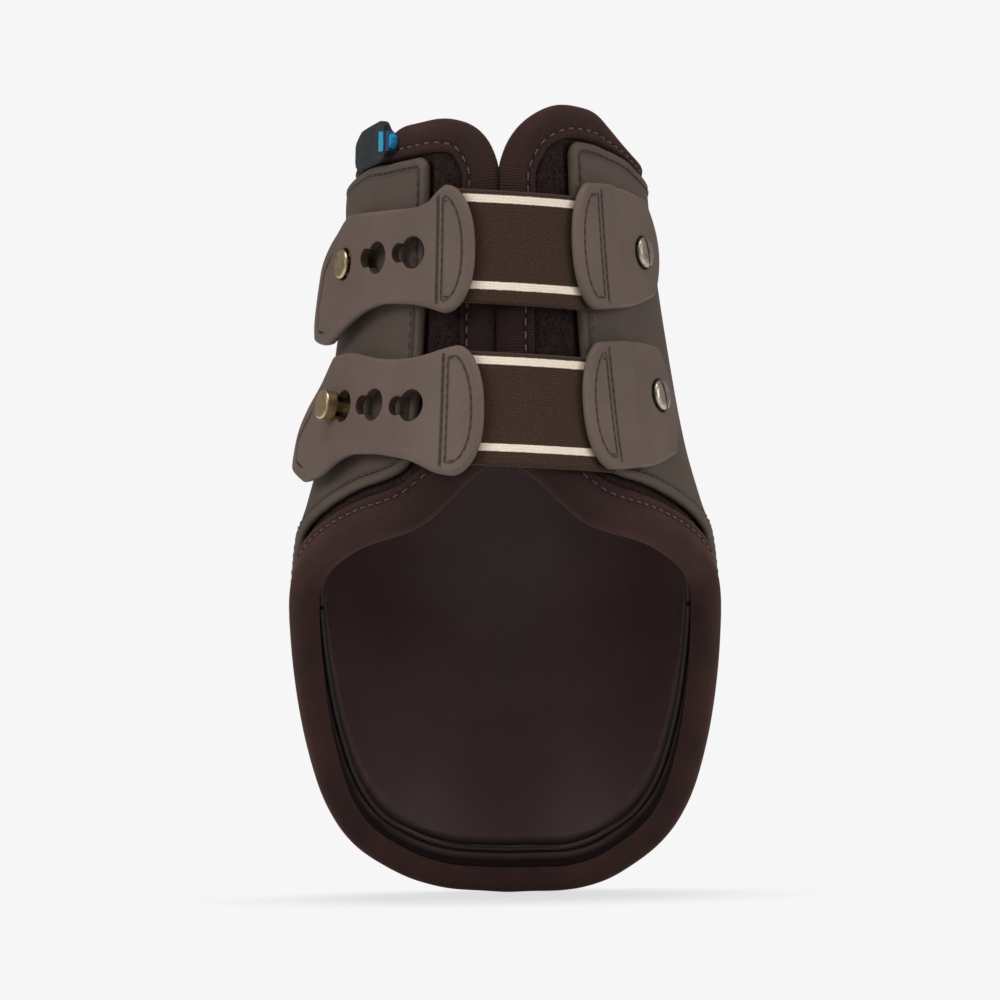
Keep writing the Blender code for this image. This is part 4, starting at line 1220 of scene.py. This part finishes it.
def webbing(name, strap, start, end):
    """Flat elastic between two angles: a thin band with rounded selvedges, on a slight slant."""
    turn = np.linspace(math.radians(start), math.radians(end), max(8, int(abs(end - start) * 2.2)))
    half = webbing_width / 2
    across = (spaced(56, webbing_width) * 2 - 1) * half
    slant = -webbing_slant * turn / slant_turn
    height = strap["centre"] + across[:, None] + slant
    theta = turn + 0 * height
    bulk = (webbing_outer - webbing_inner) / 2
    selvedge = np.minimum(across + half, half - across)[:, None]
    swell = bulk * rounding(selvedge, selvedge_radius)
    middle = (webbing_inner + webbing_outer) / 2
    uv = pairs(turn * girth_rate(band_rate_turn, strap["centre"], middle), across[:, None])
    outer, inner = middle + swell + 0 * theta, middle - swell + 0 * theta
    band = plate(name, theta, height, outer, inner, elastic_fabric, uv)
    return band


def on_band(strap, angle):
    return surface(math.radians(angle), strap["centre"], (webbing_inner + webbing_outer) / 2)


def make_elastic(side, strap):
    """Elastic in three lengths: a tail under the anchor tab, a bend, and a band to under the keyhole tab."""
    tail = webbing(side + "_elastic_tail", strap, bend_angles[1], strap["anchor_groove_angle"])
    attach(tail, "boot")
    bend = webbing(side + "_elastic_bend", strap, *bend_angles)
    side + "_strap"
    on_band(strap, bend_angles[1])
    on_band(strap, bend_angles[0])
    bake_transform(bend)
    main = webbing(side + "_elastic_band", strap, -strap["groove_angle"], bend_angles[0])
    side + "_strap"
    side + "_tab"
    on_band(strap, bend_angles[0])
    on_band(strap, -strap["d_end_angles"][0])
    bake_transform(main)
    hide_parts(side + "_elastic")
    turn = math.radians(bend_angles[0] + strap["groove_angle"])
    length = turn * girth_rate(band_rate_turn, strap["centre"], webbing_inner)
    side + "_keyhole_tab"
    side + "_anchor_tab"


def make_stud(name, seat, node, proud):
    """Turned stud: flat face with a raised rim, straight side, neck, flange on the shell and shank."""
    low, top = tab_outer + head_gap, tab_outer + proud
    r = stud_head_radius
    profile = ((0, top - 0.10 * mm), (r * 0.66, top - 0.10 * mm), (r * 0.74, top - 0.02 * mm), (r * 0.80, top),
               (r * 0.88, top), (r * 0.96, top - 0.14 * mm), (r, top - 0.42 * mm), (r, low + 0.20 * mm),
               (r * 0.95, low), (stud_neck_radius, low), (stud_neck_radius, stud_flange_top),
               (flange_radius, stud_flange_top), (flange_radius, stud_flange_bottom),
               (stud_shank_radius, stud_flange_bottom), (stud_shank_radius, backing_bottom),
               (0, backing_bottom))
    stud = spun(name, profile, seat, brass)
    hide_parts(node)
    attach(stud, "boot")


def make_screw(name, seat, node):
    """Slotted screw: low crowned head with a bevelled edge, its slot near upright."""
    low = anchor_outer + fit_gap
    top = low + screw_head_height
    r = screw_head_radius
    profile = ((0, top), (r * 0.45, top - 0.05 * mm), (r * 0.80, top - 0.20 * mm), (r * 0.93, top - 0.42 * mm),
               (r, top - 0.80 * mm), (r, low + 0.1 * mm), (r * 0.97, low), (screw_shank_radius, low),
               (screw_shank_radius, 0), (0, 0))
    screw = spun(name, profile, seat, nickel)
    box = np.array([(-1, -1), (1, -1), (1, 1), (-1, 1)]) * (slot_width / 2, 2 * r)
    c, s = math.cos(slot_lean), math.sin(slot_lean)
    turn = np.array([(c, s), (-s, c)])
    carve(screw, [prism(box @ turn, top - slot_depth, top + 2 * mm, seat)])
    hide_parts(node)
    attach(screw, "boot")


def make_strap(side, strap):
    """One strap: its two tabs and their threads, the elastic, the stud and the screw."""
    seats = keyhole_seats(strap)
    body = side + "_tab"
    groove = strap["groove_angle"]
    made = make_tab(side + "_moulded_tab", keyhole_tab_grid, strap, groove, side + "_keyhole_tab", body,
                    seats, keyhole_tab_length)
    tab_stitches(side + "_tab_threads", made, side + "_tab_stitching", body, groove)
    groove = strap["anchor_groove_angle"]
    made = make_tab(side + "_moulded_anchor", anchor_tab_grid, strap, groove, side + "_anchor_tab", "boot",
                    [], anchor_tab_length)
    tab_stitches(side + "_anchor_threads", made, side + "_anchor_stitching", "boot", groove)
    make_elastic(side, strap)
    seat = placed(np.float64(seats[0][0]), np.float64(seats[0][1]))
    make_stud(side + "_turned_stud", seat, side + "_stud", strap["stud_proud"])
    make_screw(side + "_slotted_screw", placed(*screw_place(strap)), side + "_anchor_screw")
    for node in (side + "_stud_washer", side + "_screw_post"):
        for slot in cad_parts[node].material_slots:
            slot.material = steel


def make_label():
    """Folded cloth label that stands at the left of the top edge, highest and thickest by its fold."""
    columns, rows = spaced(60, label_length), spaced(50, label_height)
    angle = label_angles[0] + (label_angles[-1] - label_angles[0]) * columns
    low, top = (np.interp(angle, label_angles, ends) * mm for ends in (label_bottoms, label_tops))
    height = low + (top - low) * rows[:, None]
    theta = 2 * math.pi + np.radians(angle) + 0 * height
    flat = surface(theta, height)
    edge = from_border(flat)
    middle = binding_proud + layer_gap + label_stand
    half = label_half_thickness + label_fold_swell * ease(columns, 0.55, 0.95)
    bulk = half * rounding(edge, label_edge_radius)
    uv = pairs(path_length(flat[0]), height - label_bottoms[2] * mm)
    label = plate("folded_label", theta, height, middle + bulk, middle - bulk, label_fabric, uv, {"edge": edge})
    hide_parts("size_label")
    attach(label, "boot")


make_pad()
make_lining()
make_binding()
make_welt()
make_shell()
make_label()
for side, strap in straps.items():
    make_strap(side, strap)


# stage, light and camera

def pale(name, colour, shadow_share):
    """A surface that the camera, mirrors and glass see at its own colour, apart from a share of shade."""
    board = Board(name, Base_Color=(0.80, 0.80, 0.80), Roughness=0.9, Specular_IOR_Level=0.1)
    rays = board.tree.nodes.new("ShaderNodeLightPath").outputs
    seen = Wire(board, rays["Is Camera Ray"]) + Wire(board, rays["Is Glossy Ray"])
    seen = seen + Wire(board, rays["Is Transmission Ray"])
    where = board.place()
    away = board.add("ShaderNodeVectorMath", {"operation": "LENGTH"}, where, output="Value")
    share = board.smooth(away, 0.03, 0.09, 1 - shadow_share, 1.0)
    glow = board.tree.nodes.new("ShaderNodeEmission")
    glow.inputs["Color"].default_value = (*colour, 1.0)
    both = board.tree.nodes.new("ShaderNodeMixShader")
    board.feed(both.inputs[0], seen * share)
    board.tree.links.new(board.shader.outputs[0], both.inputs[1])
    board.tree.links.new(glow.outputs[0], both.inputs[2])
    out = next(n for n in board.tree.nodes if n.type == "OUTPUT_MATERIAL")
    board.tree.links.new(both.outputs[0], out.inputs["Surface"])
    return board.material


paper = (0.922, 0.922, 0.922)
floor_level = cad_box[0][2] - 0.2 * mm
turn = np.linspace(0, 2 * math.pi, 97)[:, None]
radii = np.linspace(0, 1.5, 4)
disc = np.stack(np.broadcast_arrays(radii * np.cos(turn), radii * np.sin(turn), floor_level), -1)
floor = piece("floor", disc, grid_faces(*disc.shape[:2], flip=True), pale("pale_floor", paper, 0.38))

world = bpy.data.worlds.new("studio")
world.use_nodes = True
bpy.context.scene.world = world
nodes, links = world.node_tree.nodes, world.node_tree.links
nodes.clear()
rays = nodes.new("ShaderNodeLightPath").outputs
seen = nodes.new("ShaderNodeMath")
seen.operation = "MAXIMUM"
links.new(rays["Is Camera Ray"], seen.inputs[0])
links.new(rays["Is Transmission Ray"], seen.inputs[1])
backdrop, ambient = nodes.new("ShaderNodeBackground"), nodes.new("ShaderNodeBackground")
backdrop.inputs["Color"].default_value = (*paper, 1)
ambient.inputs["Color"].default_value = (1.0, 0.985, 0.965, 1)
ambient.inputs["Strength"].default_value = 0.28
both, out = nodes.new("ShaderNodeMixShader"), nodes.new("ShaderNodeOutputWorld")
links.new(seen.outputs[0], both.inputs[0])
links.new(ambient.outputs[0], both.inputs[1])
links.new(backdrop.outputs[0], both.inputs[2])
links.new(both.outputs[0], out.inputs["Surface"])


def aimed(place, target, roll=0.0):
    """Rotation that looks from a place to a target, with the camera's own up turned by the roll."""
    z = unit(np.array(place, float) - target)
    x = unit(np.cross((0, 0, 1), z))
    y = np.cross(z, x)
    c, s = math.cos(roll), math.sin(roll)
    return np.array([x * c + y * s, y * c - x * s, z])


def stand(thing, place, target, roll=0.0):
    axes = aimed(place, target, roll)
    matrix = np.eye(4)
    matrix[:3, :3], matrix[:3, 3] = axes.T, place
    thing.matrix_world = mathutils.Matrix(matrix.tolist())
    bpy.context.scene.collection.objects.link(thing)


middle = np.array((0.0, 0.0, 0.10))
for name, place, power in (("key", (-1.25, -0.75, 0.85), 11.5), ("fill", (1.30, -0.65, 0.60), 8.5),
                           ("top", (0.0, -0.45, 1.45), 8.0)):
    lamp = bpy.data.lights.new(name, "AREA")
    lamp.size = 0.8
    lamp.energy = power
    stand(bpy.data.objects.new(name, lamp), place, middle)

lens = bpy.data.cameras.new("camera")
lens.sensor_width = 36.0
lens.sensor_fit = "HORIZONTAL"
view_distance, view_width = 3.2, 0.25
lens.lens = lens.sensor_width * view_distance / view_width
lens.clip_end = 20.0
camera = bpy.data.objects.new("camera", lens)
aim = np.array((-0.9 * mm, 0.0, 100.0 * mm))
stand(camera, aim - (0, view_distance, 0), aim, math.radians(-0.8))
bpy.context.scene.camera = camera
bpy.context.scene.view_settings.view_transform = "Standard"
